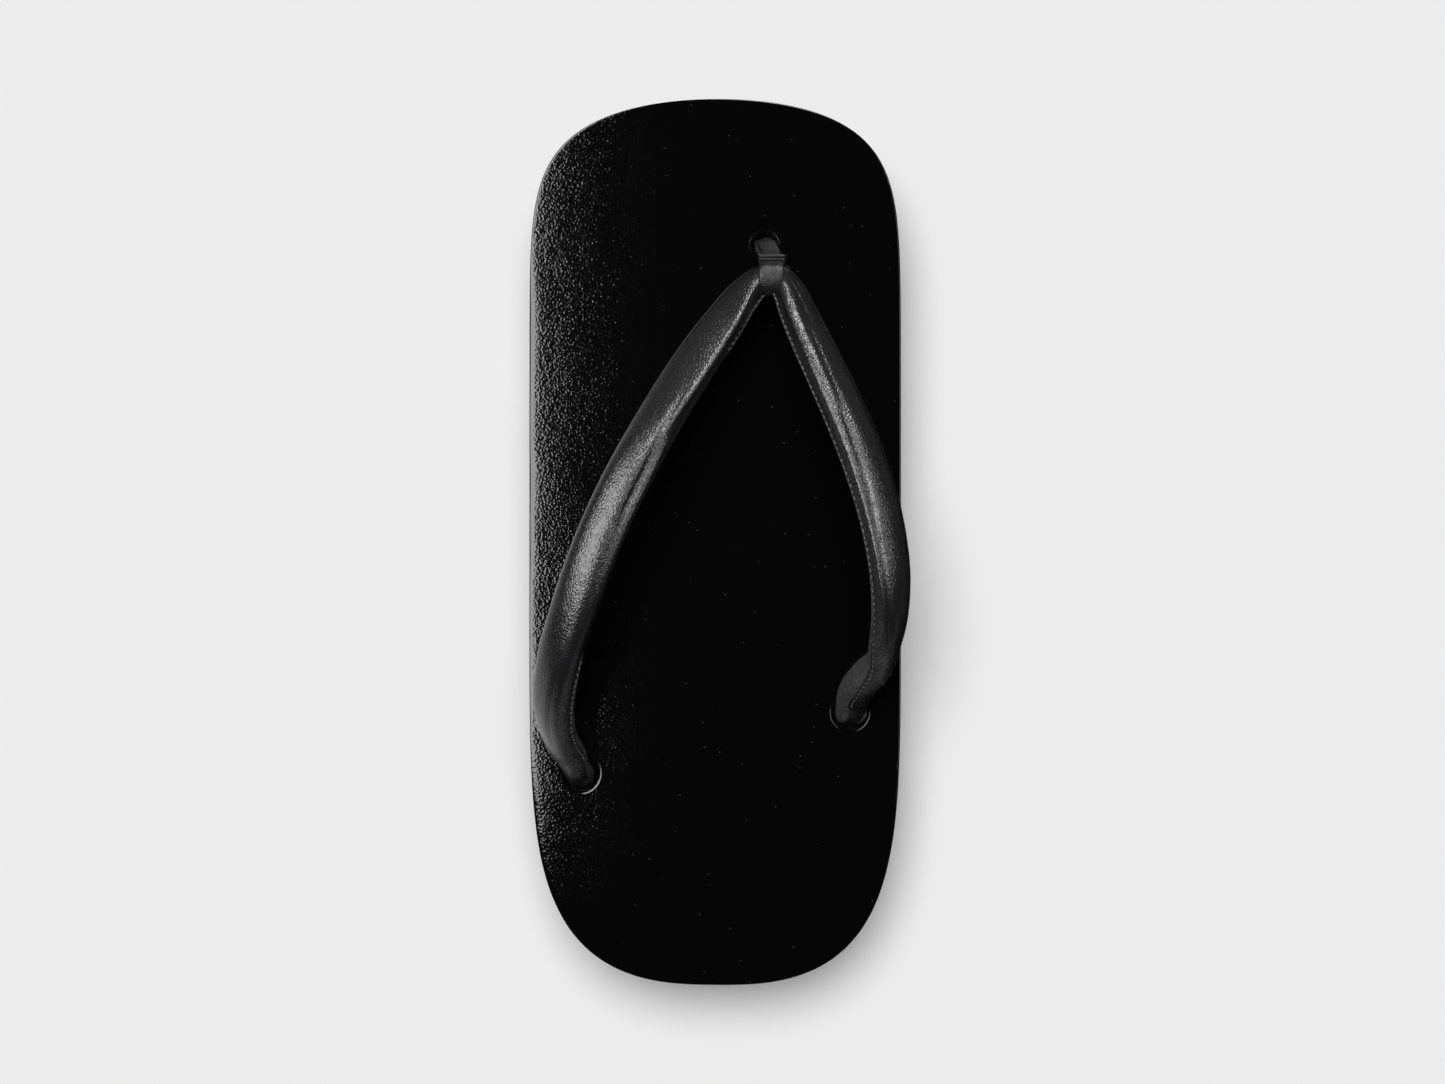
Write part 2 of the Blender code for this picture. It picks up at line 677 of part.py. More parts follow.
def make_front_loop(collection, cutters, material):
    """Band and stem made one, then hollowed where the straps pass."""
    loop = loft("front_loop", band_rings(), collection, material, closed=True)
    stem_rows = smooth_rows(LOOP_STEM, STEM_STEPS)
    width, thick, lean = stem_rows[:, 3], stem_rows[:, 4], stem_rows[:, 5]
    heading = np.full(len(stem_rows), 90.0)
    table = np.stack([*stem_rows[:, :3].T, width, thick, heading, lean], axis=1)
    frames = frames_along(table)
    rings = [section_ring(frame, STEM_SECTION, row[3] / 2, row[4] / 2) for frame, row in zip(frames, table)]
    last_middle, across, face = frames[-1]
    bottom = Vector((last_middle.x, last_middle.y, PLATE_UNDERSIDE - SEAT_GAP))
    rings.append(section_ring((bottom, across, face), STEM_SECTION, table[-1, 3] / 2, table[-1, 4] / 2))
    rings += knot_rings(STEM_KNOT, frames[-1], STEM_SECTION)
    stem = make_cutter(loft("loop_stem", rings, cutters))
    cavity = loft("loop_cavity", strap_near_apex(LOOP_CAVITY_REACH, CAVITY_STEPS, LOOP_CAVITY_GAP), cutters)
    add_boolean(loop, stem, "UNION")
    add_boolean(loop, make_cutter(cavity), "DIFFERENCE")
    return loop


def main():
    clear_scene()
    sandal = new_collection("geta_sandal")
    cutters = new_collection("cutters")
    cutters.hide_render = True
    wood = make_material("stained paulownia", (0.045, 0.022, 0.013), 0.5, 0.0)
    glazed = make_material("black glazed leather", (0.003, 0.003, 0.0035), 0.25, 0.6)
    leather = make_material("black calf leather", (0.008, 0.008, 0.009), 0.42, 0.0)
    outline = sole_outline()
    dai = make_dai(outline, sandal, wood)
    footbed = make_footbed(outline, sandal, glazed)
    bores = (("front", FRONT_BORE, FRONT_LIP), ("outer", OUTER_BORE, REAR_LIP), ("inner", INNER_BORE, REAR_LIP))
    for name, bore, lip in bores:
        plain, lipped = make_bore_cutters(name, bore, lip, cutters)
        add_boolean(dai, plain, "DIFFERENCE")
        add_boolean(footbed, lipped, "DIFFERENCE")
    make_straps(sandal, leather)
    make_front_loop(sandal, cutters, leather)


main()
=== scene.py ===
"""Looks of a left-foot geta sandal: stained wooden base, glazed footbed, stuffed straps and their front loop.

Sizes are in millimetres from the middle of the sole, and place() turns them into metres in the frame's axes.
The toe points to +Y, the inner side of the foot is at +X, and the floor is z = 0.
"""

import math
from collections import namedtuple

import bmesh
import bpy
import numpy as np
from mathutils import Matrix, Vector


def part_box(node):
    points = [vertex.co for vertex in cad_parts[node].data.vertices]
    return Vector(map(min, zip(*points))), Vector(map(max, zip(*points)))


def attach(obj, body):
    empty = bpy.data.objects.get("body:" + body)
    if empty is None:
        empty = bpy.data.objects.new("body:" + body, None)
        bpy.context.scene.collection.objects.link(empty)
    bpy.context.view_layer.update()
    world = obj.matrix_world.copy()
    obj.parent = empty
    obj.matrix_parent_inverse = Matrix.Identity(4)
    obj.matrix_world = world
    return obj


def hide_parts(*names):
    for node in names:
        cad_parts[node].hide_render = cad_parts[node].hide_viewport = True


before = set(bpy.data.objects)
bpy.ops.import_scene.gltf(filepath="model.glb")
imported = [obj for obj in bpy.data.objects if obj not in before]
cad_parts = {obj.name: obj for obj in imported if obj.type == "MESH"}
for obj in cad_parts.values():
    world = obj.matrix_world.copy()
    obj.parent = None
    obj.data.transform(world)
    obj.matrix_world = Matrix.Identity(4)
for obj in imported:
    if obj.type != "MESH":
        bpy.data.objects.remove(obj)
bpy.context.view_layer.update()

MM = 0.001

# Sole, read from the frame
dai_low, dai_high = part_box("dai")
footbed_low, footbed_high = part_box("footbed")
SOLE_X = (dai_low.x + dai_high.x) / 2
HALF_LENGTH = (dai_high.y - dai_low.y) / 2 / MM
HALF_WIDTH = (dai_high.x - dai_low.x) / 2 / MM
DAI_TOP = dai_high.z / MM
FOOTBED_TOP = footbed_high.z / MM
FOOTBED_UNDERSIDE = footbed_low.z / MM

# Outline of the sole: |x / half width| ** corner + |y / half length| ** run = 1
OutlineEnd = namedtuple("OutlineEnd", "run corner")
TOE_END = OutlineEnd(run=10.0, corner=2.1)
HEEL_END = OutlineEnd(run=5.5, corner=2.7)
OUTLINE_POINTS = 320
OUTLINE_TURN_SHARE = 1.5
OUTLINE_FINE_STEPS = 900

# Underside of the base
PLATE_UNDERSIDE = 26.0
TOE_UNDERSIDE = 32.0
HEEL_UNDERSIDE = 31.0
Tooth = namedtuple("Tooth", "rear front")
REAR_TOOTH = Tooth(rear=-108.0, front=-84.0)
FRONT_TOOTH = Tooth(rear=44.0, front=68.0)
TOOTH_DRAFT = 0.8
SIDE_TAPER = 2.2
DAI_EDGE_RADIUS = 0.8
# In degrees: the base's edges sharper than the first are rounded, and shading breaks at those past the second
DAI_EDGE_ANGLE = 50
SHARP_ANGLE = 40
# How far the bores' cutters reach past the base and past the footbed
CUTTER_REACH = 5.0
LIP_CUTTER_BELOW = 2.0
LIP_CUTTER_ABOVE = 3.0

# Bores, and the lip that the footbed has round each: growth of the radius at a depth below the footbed's top.
# spread is the share of that growth at a bore, and pull_x and pull_y the way in which its strap has drawn the
# lip wider.
Bore = namedtuple("Bore", "name x y radius spread pull_x pull_y")
LipRow = namedtuple("LipRow", "grow depth")
LIP = (
    LipRow(0.00, 2.20),
    LipRow(0.03, 1.00),
    LipRow(0.09, 0.56),
    LipRow(0.22, 0.36),
    LipRow(0.42, 0.26),
    LipRow(0.74, 0.17),
    LipRow(1.12, 0.09),
    LipRow(1.60, 0.03),
    LipRow(2.20, -0.01),
)
BORES = (
    Bore("front", 15.1, 88.5, 4.15, 0.22, -0.20, 0.00),
    Bore("outer", -40.4, -69.7, 5.05, 0.72, 0.12, 0.32),
    Bore("inner", 40.5, -50.9, 5.05, 0.55, 0.00, 0.20),
)
BORE_SIDES = 96

# Edge of the footbed, from its underside up: inset from the outline and depth below its top, first where the
# cover is rolled softly along the outer side, then where it is drawn tight
EdgeRow = namedtuple("EdgeRow", "inset below tight_inset tight_below")
FOOTBED_EDGE = (
    EdgeRow(0.50, 2.70, 0.50, 2.70),
    EdgeRow(0.16, 2.50, 0.16, 2.50),
    EdgeRow(0.10, 2.00, 0.10, 2.00),
    EdgeRow(0.10, 1.20, 0.10, 0.80),
    EdgeRow(0.13, 0.84, 0.10, 0.34),
    EdgeRow(0.20, 0.60, 0.12, 0.20),
    EdgeRow(0.32, 0.42, 0.17, 0.11),
    EdgeRow(0.50, 0.29, 0.25, 0.05),
    EdgeRow(0.74, 0.19, 0.38, 0.02),
    EdgeRow(1.04, 0.115, 0.70, 0.008),
    EdgeRow(1.42, 0.055, 1.30, 0.004),
    EdgeRow(2.00, 0.02, 2.30, 0.002),
    EdgeRow(3.40, 0.005, 4.00, 0.001),
    EdgeRow(6.50, 0.00, 6.50, 0.00),
)
# How soft that edge is on each side, from 0 to 1. Towards the toe it turns tight between two places, it
# ripples in waves of uneven length, and it is less soft beneath the outer strap.
OUTER_EDGE_SOFTNESS = 0.62
INNER_EDGE_SOFTNESS = 0.12
OUTER_SIDE = (0.2, 0.8)
INNER_SIDE = (0.5, 0.9)
EDGE_TURNS_TIGHT = (70.0, 92.0)
EDGE_RIPPLE = 0.35
RIPPLE_LENGTH = 5.3
RIPPLE_DRIFT = 1.7
RIPPLE_DRIFT_LENGTH = 17.0
BENEATH_STRAP = 0.6
BENEATH_STRAP_STARTS = (-76.0, -58.0)
BENEATH_STRAP_ENDS = (-20.0, 0.0)

# Straps, from the outer rear bore to the apex and on to the inner rear bore. rise is the height of the
# section's middle above the footbed, heading the direction in which the leather face leans (0 is +X, 90
# is +Y), lean its tilt from level, and rounding 1 where the strap is a round cord.
StrapRow = namedtuple("StrapRow", "x y rise width thick heading lean rounding")
OUTER_STRAP = (
    StrapRow(-40.4, -69.7, -10.0, 7.0, 7.0, 200, 90, 1.0),
    StrapRow(-40.4, -69.7, -4.0, 7.4, 7.4, 200, 84, 0.9),
    StrapRow(-40.4, -69.2, 0.5, 8.7, 8.0, 198, 70, 0.6),
    StrapRow(-41.8, -65.4, 6.8, 12.8, 8.0, 194, 58, 0.3),
    StrapRow(-43.8, -60.6, 11.0, 14.8, 9.0, 188, 48, 0.1),
    StrapRow(-45.5, -55.0, 17.5, 15.0, 8.8, 182, 41, 0.0),
    StrapRow(-45.7, -48.0, 25.0, 14.6, 8.8, 177, 35, 0.0),
    StrapRow(-42.7, -34.0, 35.5, 14.0, 8.8, 168, 25, 0.0),
    StrapRow(-38.0, -20.0, 40.5, 13.8, 8.8, 164, 18, 0.0),
    StrapRow(-34.4, -10.0, 42.0, 13.8, 8.8, 162, 16, 0.0),
    StrapRow(-27.3, 7.6, 41.6, 13.8, 8.8, 158, 17, 0.0),
    StrapRow(-20.6, 21.6, 39.6, 13.8, 8.8, 156, 17, 0.0),
    StrapRow(-13.6, 35.3, 34.6, 13.7, 8.8, 154, 21, 0.0),
    StrapRow(-0.8, 56.6, 26.6, 13.0, 8.4, 148, 20, 0.0),
    StrapRow(4.2, 64.1, 23.8, 12.1, 8.0, 144, 23, 0.0),
    StrapRow(8.8, 70.9, 21.0, 10.6, 7.6, 136, 27, 0.0),
    StrapRow(12.2, 74.6, 19.6, 9.6, 6.8, 124, 32, 0.1),
    StrapRow(15.0, 76.8, 18.5, 9.0, 6.0, 105, 37, 0.2),
)
STRAP_APEX = StrapRow(18.0, 77.3, 18.0, 8.8, 5.8, 88, 40, 0.3)
INNER_STRAP = (
    StrapRow(21.0, 76.4, 18.5, 9.0, 6.0, 70, 40, 0.2),
    StrapRow(23.3, 73.4, 20.0, 9.8, 6.8, 50, 38, 0.1),
    StrapRow(25.3, 68.9, 21.6, 10.8, 7.6, 34, 36, 0.0),
    StrapRow(27.8, 63.3, 24.0, 11.7, 8.0, 27, 35, 0.0),
    StrapRow(34.2, 49.6, 30.0, 12.4, 8.4, 25, 30, 0.0),
    StrapRow(40.7, 35.4, 34.0, 12.7, 8.6, 22, 25, 0.0),
    StrapRow(46.2, 21.5, 37.0, 12.7, 8.6, 18, 21, 0.0),
    StrapRow(51.1, 4.1, 40.0, 12.2, 8.6, 11, 21, 0.0),
    StrapRow(53.2, -11.4, 40.0, 11.4, 8.6, 5, 27, 0.0),
    StrapRow(53.1, -20.1, 37.5, 10.8, 8.6, 0, 38, 0.0),
    StrapRow(51.7, -28.6, 31.5, 11.0, 8.4, -6, 56, 0.0),
    StrapRow(50.0, -34.4, 25.0, 10.5, 8.4, -12, 78, 0.1),
    StrapRow(45.2, -40.0, 16.5, 11.4, 9.0, -20, 110, 0.3),
    StrapRow(41.9, -45.0, 8.0, 10.6, 9.2, -26, 128, 0.5),
    StrapRow(40.7, -50.0, 2.0, 8.7, 8.4, -30, 132, 0.7),
    StrapRow(40.5, -50.8, -3.5, 7.4, 7.4, -30, 120, 0.9),
    StrapRow(40.5, -50.9, -10.0, 7.0, 7.0, -30, 110, 1.0),
)
STRAP_FINE_STEPS = 24
STRAP_RING_SPACING = 0.9
STRAP_RING_POINTS = 72

# Sections of a strap, from the seam at its inner lower edge over the leather face to its outer edge and back
# underneath. Near the front loop the face is flat and ends in a sharp ridge; further back it is rounder.
# The outer strap's middle drops in a step to a narrow shoulder beside the seam.
SectionRow = namedtuple("SectionRow", "across up")
OUTER_FRONT_SECTION = (
    SectionRow(-0.92, -0.58),
    SectionRow(-0.98, -0.15),
    SectionRow(-1.05, 0.28),
    SectionRow(-1.09, 0.60),
    SectionRow(-1.07, 0.82),
    SectionRow(-0.99, 0.94),
    SectionRow(-0.84, 0.99),
    SectionRow(-0.46, 0.98),
    SectionRow(0.00, 0.92),
    SectionRow(0.36, 0.83),
    SectionRow(0.65, 0.69),
    SectionRow(0.87, 0.45),
    SectionRow(0.99, 0.12),
    SectionRow(0.98, -0.28),
    SectionRow(0.84, -0.64),
    SectionRow(0.50, -0.84),
    SectionRow(0.00, -0.90),
    SectionRow(-0.55, -0.87),
)
OUTER_MIDDLE_SECTION = (
    SectionRow(-0.92, -0.52),
    SectionRow(-1.00, -0.22),
    SectionRow(-1.05, 0.06),
    SectionRow(-1.06, 0.24),
    SectionRow(-1.01, 0.37),
    SectionRow(-0.90, 0.47),
    SectionRow(-0.76, 0.56),
    SectionRow(-0.57, 0.77),
    SectionRow(-0.29, 0.92),
    SectionRow(0.12, 0.99),
    SectionRow(0.50, 0.95),
    SectionRow(0.78, 0.78),
    SectionRow(0.93, 0.48),
    SectionRow(1.00, 0.06),
    SectionRow(0.94, -0.42),
    SectionRow(0.60, -0.82),
    SectionRow(0.10, -0.91),
    SectionRow(-0.55, -0.80),
)
LOOP_SECTION = (
    SectionRow(-0.90, -0.58),
    SectionRow(-0.91, -0.15),
    SectionRow(-0.86, 0.28),
    SectionRow(-0.75, 0.62),
    SectionRow(-0.63, 0.83),
    SectionRow(-0.50, 0.94),
    SectionRow(-0.34, 0.98),
    SectionRow(-0.10, 0.99),
    SectionRow(0.16, 0.96),
    SectionRow(0.42, 0.87),
    SectionRow(0.68, 0.70),
    SectionRow(0.88, 0.45),
    SectionRow(0.99, 0.12),
    SectionRow(0.98, -0.28),
    SectionRow(0.84, -0.64),
    SectionRow(0.50, -0.84),
    SectionRow(0.00, -0.90),
    SectionRow(-0.55, -0.87),
)
INNER_FRONT_SECTION = (
    SectionRow(-0.90, -0.58),
    SectionRow(-0.95, -0.20),
    SectionRow(-0.98, 0.15),
    SectionRow(-0.98, 0.44),
    SectionRow(-0.92, 0.65),
    SectionRow(-0.79, 0.80),
    SectionRow(-0.62, 0.92),
    SectionRow(-0.42, 0.98),
    SectionRow(-0.12, 0.98),
    SectionRow(0.24, 0.92),
    SectionRow(0.58, 0.79),
    SectionRow(0.83, 0.54),
    SectionRow(0.97, 0.18),
    SectionRow(0.98, -0.24),
    SectionRow(0.84, -0.62),
    SectionRow(0.45, -0.86),
    SectionRow(-0.10, -0.92),
    SectionRow(-0.62, -0.87),
)
INNER_MIDDLE_SECTION = (
    SectionRow(-0.93, -0.60),
    SectionRow(-0.97, -0.25),
    SectionRow(-0.99, 0.12),
    SectionRow(-0.98, 0.46),
    SectionRow(-0.93, 0.69),
    SectionRow(-0.83, 0.83),
    SectionRow(-0.66, 0.91),
    SectionRow(-0.42, 0.98),
    SectionRow(-0.03, 1.00),
    SectionRow(0.36, 0.92),
    SectionRow(0.67, 0.70),
    SectionRow(0.89, 0.38),
    SectionRow(0.99, 0.00),
    SectionRow(0.96, -0.36),
    SectionRow(0.80, -0.68),
    SectionRow(0.40, -0.86),
    SectionRow(-0.10, -0.92),
    SectionRow(-0.60, -0.87),
)
REAR_SECTION = (
    SectionRow(-0.93, -0.50),
    SectionRow(-0.97, -0.10),
    SectionRow(-0.93, 0.34),
    SectionRow(-0.82, 0.68),
    SectionRow(-0.64, 0.89),
    SectionRow(-0.42, 0.98),
    SectionRow(-0.15, 1.00),
    SectionRow(0.14, 0.96),
    SectionRow(0.42, 0.87),
    SectionRow(0.68, 0.69),
    SectionRow(0.89, 0.40),
    SectionRow(0.99, 0.02),
    SectionRow(0.97, -0.36),
    SectionRow(0.80, -0.68),
    SectionRow(0.47, -0.85),
    SectionRow(0.00, -0.91),
    SectionRow(-0.45, -0.89),
    SectionRow(-0.78, -0.76),
)
# Where each section holds, by distance from the apex (minus is the outer strap)
SectionStation = namedtuple("SectionStation", "distance section")
SECTION_STATIONS = (
    SectionStation(-135.0, REAR_SECTION),
    SectionStation(-88.0, OUTER_MIDDLE_SECTION),
    SectionStation(-78.0, OUTER_MIDDLE_SECTION),
    SectionStation(-42.0, OUTER_FRONT_SECTION),
    SectionStation(-15.0, OUTER_FRONT_SECTION),
    SectionStation(-2.0, LOOP_SECTION),
    SectionStation(2.0, LOOP_SECTION),
    SectionStation(14.0, INNER_FRONT_SECTION),
    SectionStation(36.0, INNER_FRONT_SECTION),
    SectionStation(72.0, INNER_MIDDLE_SECTION),
    SectionStation(105.0, INNER_MIDDLE_SECTION),
    SectionStation(128.0, REAR_SECTION),
)

# Creases that run along the straps, by distance from the apex (minus is the outer strap)
Crease = namedtuple("Crease", "start end across width depth")
STRAP_CREASES = (
    Crease(-42.0, -96.0, -0.71, 0.12, 0.46),
    Crease(8.0, 72.0, -0.33, 0.15, 0.24),
    Crease(42.0, 88.0, -0.52, 0.12, 0.50),
    Crease(62.0, 126.0, -0.69, 0.14, 0.75),
    Crease(4.5, 24.0, -0.10, 0.12, 0.30),
    Crease(4.5, 15.0, 0.25, 0.10, 0.28),
    Crease(-130.0, -168.0, -0.55, 0.16, 0.35),
    Crease(132.0, 160.0, 0.10, 0.20, 0.25),
)

# Share of a crease's length over which it fades at each end, and how low on the section it still presses
CREASE_FADE = 0.3
CREASE_LOWEST = -0.2

# Lining strip on what lies under this share of a strap's half thickness, and the stitches that hold it
LINING_TOP = -0.36
LINING_INNER_EDGE = (0.35, 0.75)
LINING_THICK = 0.55
# Along the outer strap the lining's inner edge is tucked under the leather, and its stitches don't show
LINING_TUCK = 0.75
TUCK_STARTS = (24.0, 38.0)
TUCK_ENDS = (118.0, 136.0)
STITCH_PITCH = 2.0
STITCH_LENGTH = 1.35
STITCH_RADIUS = 0.2
STITCH_SIDES = 8
STITCHES_START = 22.0
STITCH_HIDDEN = 0.3
LOOP_REACH = 5.5
# Places along a stitch with the share of its radius there, and its seat as shares of the strap's half sizes
STITCH_PROFILE = ((-0.5, 0.25), (-0.42, 0.8), (0.0, 1.0), (0.42, 0.8), (0.5, 0.25))
STITCH_SEAT_ACROSS = 0.985
STITCH_SEAT_DOWN = 0.30
STITCH_PROUD = 0.05

# Knot under the plate at the end of each strap and of the front loop's stem
KNOT_RADIUS = 4.4
KNOT_CORD_RADIUS = 2.1
STEM_KNOT_RADIUS = 4.0
STEM_KNOT_CORD_RADIUS = 1.9
# Spread is a share of the knot's radius, drop and wave are shares of the cord's
KNOT_SPREAD = 0.325
KNOT_DROP = 1.55
KNOT_WAVE = 0.88
KNOT_GAP = 0.3
KNOT_TURN_POINTS = 120
KNOT_SIDES = 12

# Front loop: the band's path round the straps where they meet, by run towards the toe and rise from the
# apex's middle, with half its width there. It is pressed down in front of its crest and has a lip over the
# stem.
BandRow = namedtuple("BandRow", "run rise half_width")
BAND_PATH = (
    BandRow(0.3, 5.7, 3.65),
    BandRow(1.9, 5.45, 3.65),
    BandRow(3.2, 4.75, 3.65),
    BandRow(4.1, 3.6, 3.65),
    BandRow(4.6, 2.5, 3.7),
    BandRow(4.95, 1.6, 3.85),
    BandRow(5.25, 1.1, 4.0),
    BandRow(5.6, 1.25, 4.1),
    BandRow(5.95, 1.7, 4.1),
    BandRow(6.3, 1.6, 4.05),
    BandRow(6.55, 1.1, 3.9),
    BandRow(6.4, 0.4, 3.75),
    BandRow(6.0, -0.9, 3.7),
    BandRow(5.6, -2.4, 3.65),
    BandRow(4.4, -4.5, 3.65),
    BandRow(2.2, -5.6, 3.6),
    BandRow(-0.2, -5.2, 3.5),
    BandRow(-2.6, -3.6, 3.0),
    BandRow(-4.6, -1.4, 2.4),
    BandRow(-5.8, 1.0, 2.0),
    BandRow(-5.7, 2.8, 2.1),
    BandRow(-4.8, 4.1, 2.5),
    BandRow(-3.2, 5.1, 3.1),
    BandRow(-1.4, 5.6, 3.55),
)
BAND_MIDDLE_X = 18.2
BAND_WALL = 1.2
BAND_PATH_POINTS = 132
BAND_SECTION_POINTS = 36
# Powers that square off a round section across its width and its thickness
BAND_SQUARE_WIDE = 0.35
BAND_SQUARE_THICK = 0.7
STEM_SQUARE_WIDE = 0.35
STEM_SQUARE_THICK = 0.55
STEM_FINE_STEPS = 12
STEM_SECTION_POINTS = 48
STEM_HEADING = 90.0
# The groove between the stem's two plies, as shares of its half sizes
GROOVE_DEPTH = 0.10
GROOVE_WIDTH = 0.18
GROOVE_STARTS = 0.7
StemRow = namedtuple("StemRow", "x y rise width thick lean")
LOOP_STEM = (
    StemRow(17.9, 82.1, 14.0, 6.3, 2.3, 50),
    StemRow(17.3, 84.3, 10.5, 6.4, 3.0, 58),
    StemRow(16.2, 86.7, 6.0, 6.4, 3.1, 66),
    StemRow(15.4, 88.3, 2.0, 6.4, 3.1, 76),
    StemRow(15.1, 88.8, -2.0, 6.4, 3.1, 88),
    StemRow(15.1, 88.8, -10.0, 6.2, 3.1, 90),
    StemRow(15.1, 88.8, -21.5, 5.6, 3.1, 90),
)

# Sizes of the materials' patterns and depths of their relief, in millimetres. WOOD_RINGS and THREAD_STRANDS
# are texture scales, by the metre and by the millimetre. WOOD_STRETCH draws the figure out along the sole.
CALF_GRAIN = 0.95
CALF_GRAIN_DEPTH = 0.15
CALF_PORES = 0.6
CALF_PORE_DEPTH = 0.04
CALF_CLOUDS = 14.0
GLAZE_PEBBLES = 0.7
GLAZE_PEBBLE_DEPTH = 0.02
GLAZE_PITS = 0.6
GLAZE_PIT_DEPTH = 0.014
GLAZE_SWELLS = 22.0
GLAZE_SWELL_DEPTH = 0.1
SPECK_SPACING = 4.2
WOOD_RINGS = 60.0
WOOD_STRETCH = 0.035
WOOD_PORES = 0.7
WOOD_PORE_DEPTH = 0.08
SUEDE_NAP = 1.2
SUEDE_NAP_DEPTH = 0.3
THREAD_STRANDS = 0.35
THREAD_STRAND_DEPTH = 0.2

# Camera and lights. The camera stands beside the sandal's middle and looks straight down.
CAMERA_X = 55.7
AIM_X = 2.5
CAMERA_RISE = 850.0
SHOE_SHARE_OF_FRAME = 0.82
PHOTO_WIDTH = 1445
PHOTO_HEIGHT = 1084
SENSOR_WIDTH = 36.0
SUN_STRENGTH = 3.03
SUN_ANGLE = 33
SUN_TILT = -13
AIR_STRENGTH = 0.06
FLOOR_HALF_METRES = 4.0
# Softboxes lie level at one height, their sides measured from the camera, with a gap over it that keeps the
# flat footbed black
Softbox = namedtuple("Softbox", "name left right rear front radiance")
SOFTBOX_RISE = 1000.0
SOFTBOXES = (
    Softbox("softbox outer side", -950.0, -262.0, -180.0, 620.0, 12.5),
    Softbox("softbox inner side", 290.0, 620.0, -180.0, 580.0, 6.0),
    Softbox("softbox toe side", -90.0, 220.0, 600.0, 1050.0, 12.0),
    Softbox("softbox far toe side", -130.0, 260.0, 1050.0, 2600.0, 28.0),
)
# Black cards that lie level beside the sandal
Card = namedtuple("Card", "name left right rear front height")
CARDS = (
    Card("inner_card", 58.0, 900.0, -250.0, 250.0, 38.0),
    Card("toe_card", -200.0, 300.0, 136.0, 900.0, 30.0),
)


def place(points):
    """Points in metres in the frame's axes, from millimetres measured at the middle of the sole."""
    return np.asarray(points, float) * MM + (SOLE_X, 0.0, 0.0)


def smooth_step(value, start, end):
    share = np.clip((np.asarray(value, float) - start) / (end - start), 0.0, 1.0)
    return share * share * (3.0 - 2.0 * share)


# Meshes


def make_piece(name, points, faces, material, soft_angle=None):
    """A piece from millimetre points, smooth shaded but for edges sharper than soft_angle degrees."""
    mesh = bpy.data.meshes.new(name)
    mesh.from_pydata(place(points).tolist(), [], faces)
    tidy = bmesh.new()
    tidy.from_mesh(mesh)
    bmesh.ops.recalc_face_normals(tidy, faces=tidy.faces)
    tidy.to_mesh(mesh)
    tidy.free()
    piece = bpy.data.objects.new(name, mesh)
    bpy.context.scene.collection.objects.link(piece)
    if material:
        mesh.materials.append(material)
    shade_smooth(piece, soft_angle)
    return piece


def shade_smooth(piece, soft_angle=None):
    piece.data.polygons.foreach_set("use_smooth", [True] * len(piece.data.polygons))
    if soft_angle:
        piece.data.set_sharp_from_angle(angle=math.radians(soft_angle))


def skin_faces(rows, count, closed_along=False, offset=0):
    """Faces of a tube of rings with count points each, capped at both ends unless it closes on itself."""
    faces = []
    for row in range(rows if closed_along else rows - 1):
        here = offset + row * count
        there = offset + (row + 1) % rows * count
        for k in range(count):
            after = (k + 1) % count
            faces.append((here + k, here + after, there + after, there + k))
    if not closed_along:
        faces.append(tuple(range(offset, offset + count)))
        faces.append(tuple(range(offset + (rows - 1) * count, offset + rows * count)))
    return faces


def make_tube(name, rings, material, closed_along=False, soft_angle=None):
    rings = np.asarray(rings, float)
    rows, count = rings.shape[:2]
    faces = skin_faces(rows, count, closed_along)
    return make_piece(name, rings.reshape(-1, 3), faces, material, soft_angle)


def apply_modifiers(piece):
    """Keeps the piece's evaluated mesh and drops its modifiers."""
    graph = bpy.context.evaluated_depsgraph_get()
    mesh = bpy.data.meshes.new_from_object(piece.evaluated_get(graph))
    piece.modifiers.clear()
    piece.data = mesh


def cut(piece, cutters):
    """Cuts each cutter out of the piece and removes it."""
    for cutter in cutters:
        modifier = piece.modifiers.new(f"cut {cutter.name}", "BOOLEAN")
        modifier.object = cutter
        modifier.operation = "DIFFERENCE"
        modifier.solver = "EXACT"
    apply_modifiers(piece)
    for cutter in cutters:
        bpy.data.objects.remove(cutter)


# Curves through named rows


def curve_through(rows, steps):
    """Rows of numbers joined by a smooth curve through each, with steps rows from one to the next."""
    table = np.array(rows, float)
    gaps = np.linalg.norm(np.diff(table[:, :3], axis=0), axis=1)
    slope = np.diff(table, axis=0) / gaps[:, None]
    ahead = gaps[1:, None]
    behind = gaps[:-1, None]
    inner = (slope[:-1] * ahead + slope[1:] * behind) / (ahead + behind)
    slopes = np.concatenate([slope[:1], inner, slope[-1:]])
    out = []
    for k, gap in enumerate(gaps):
        for t in np.arange(steps) / steps:
            start = (2 * t**3 - 3 * t**2 + 1) * table[k] + (t**3 - 2 * t**2 + t) * gap * slopes[k]
            end = (3 * t**2 - 2 * t**3) * table[k + 1] + (t**3 - t**2) * gap * slopes[k + 1]
            out.append(start + end)
    out.append(table[-1])
    return np.array(out)


def distance_along(table):
    gaps = np.linalg.norm(np.diff(table[:, :3], axis=0), axis=1)
    return np.concatenate([[0.0], np.cumsum(gaps)])


def rows_at(table, along, places):
    """Rows of the table at the wanted distances along it."""
    return np.stack([np.interp(places, along, table[:, k]) for k in range(table.shape[1])], axis=1)


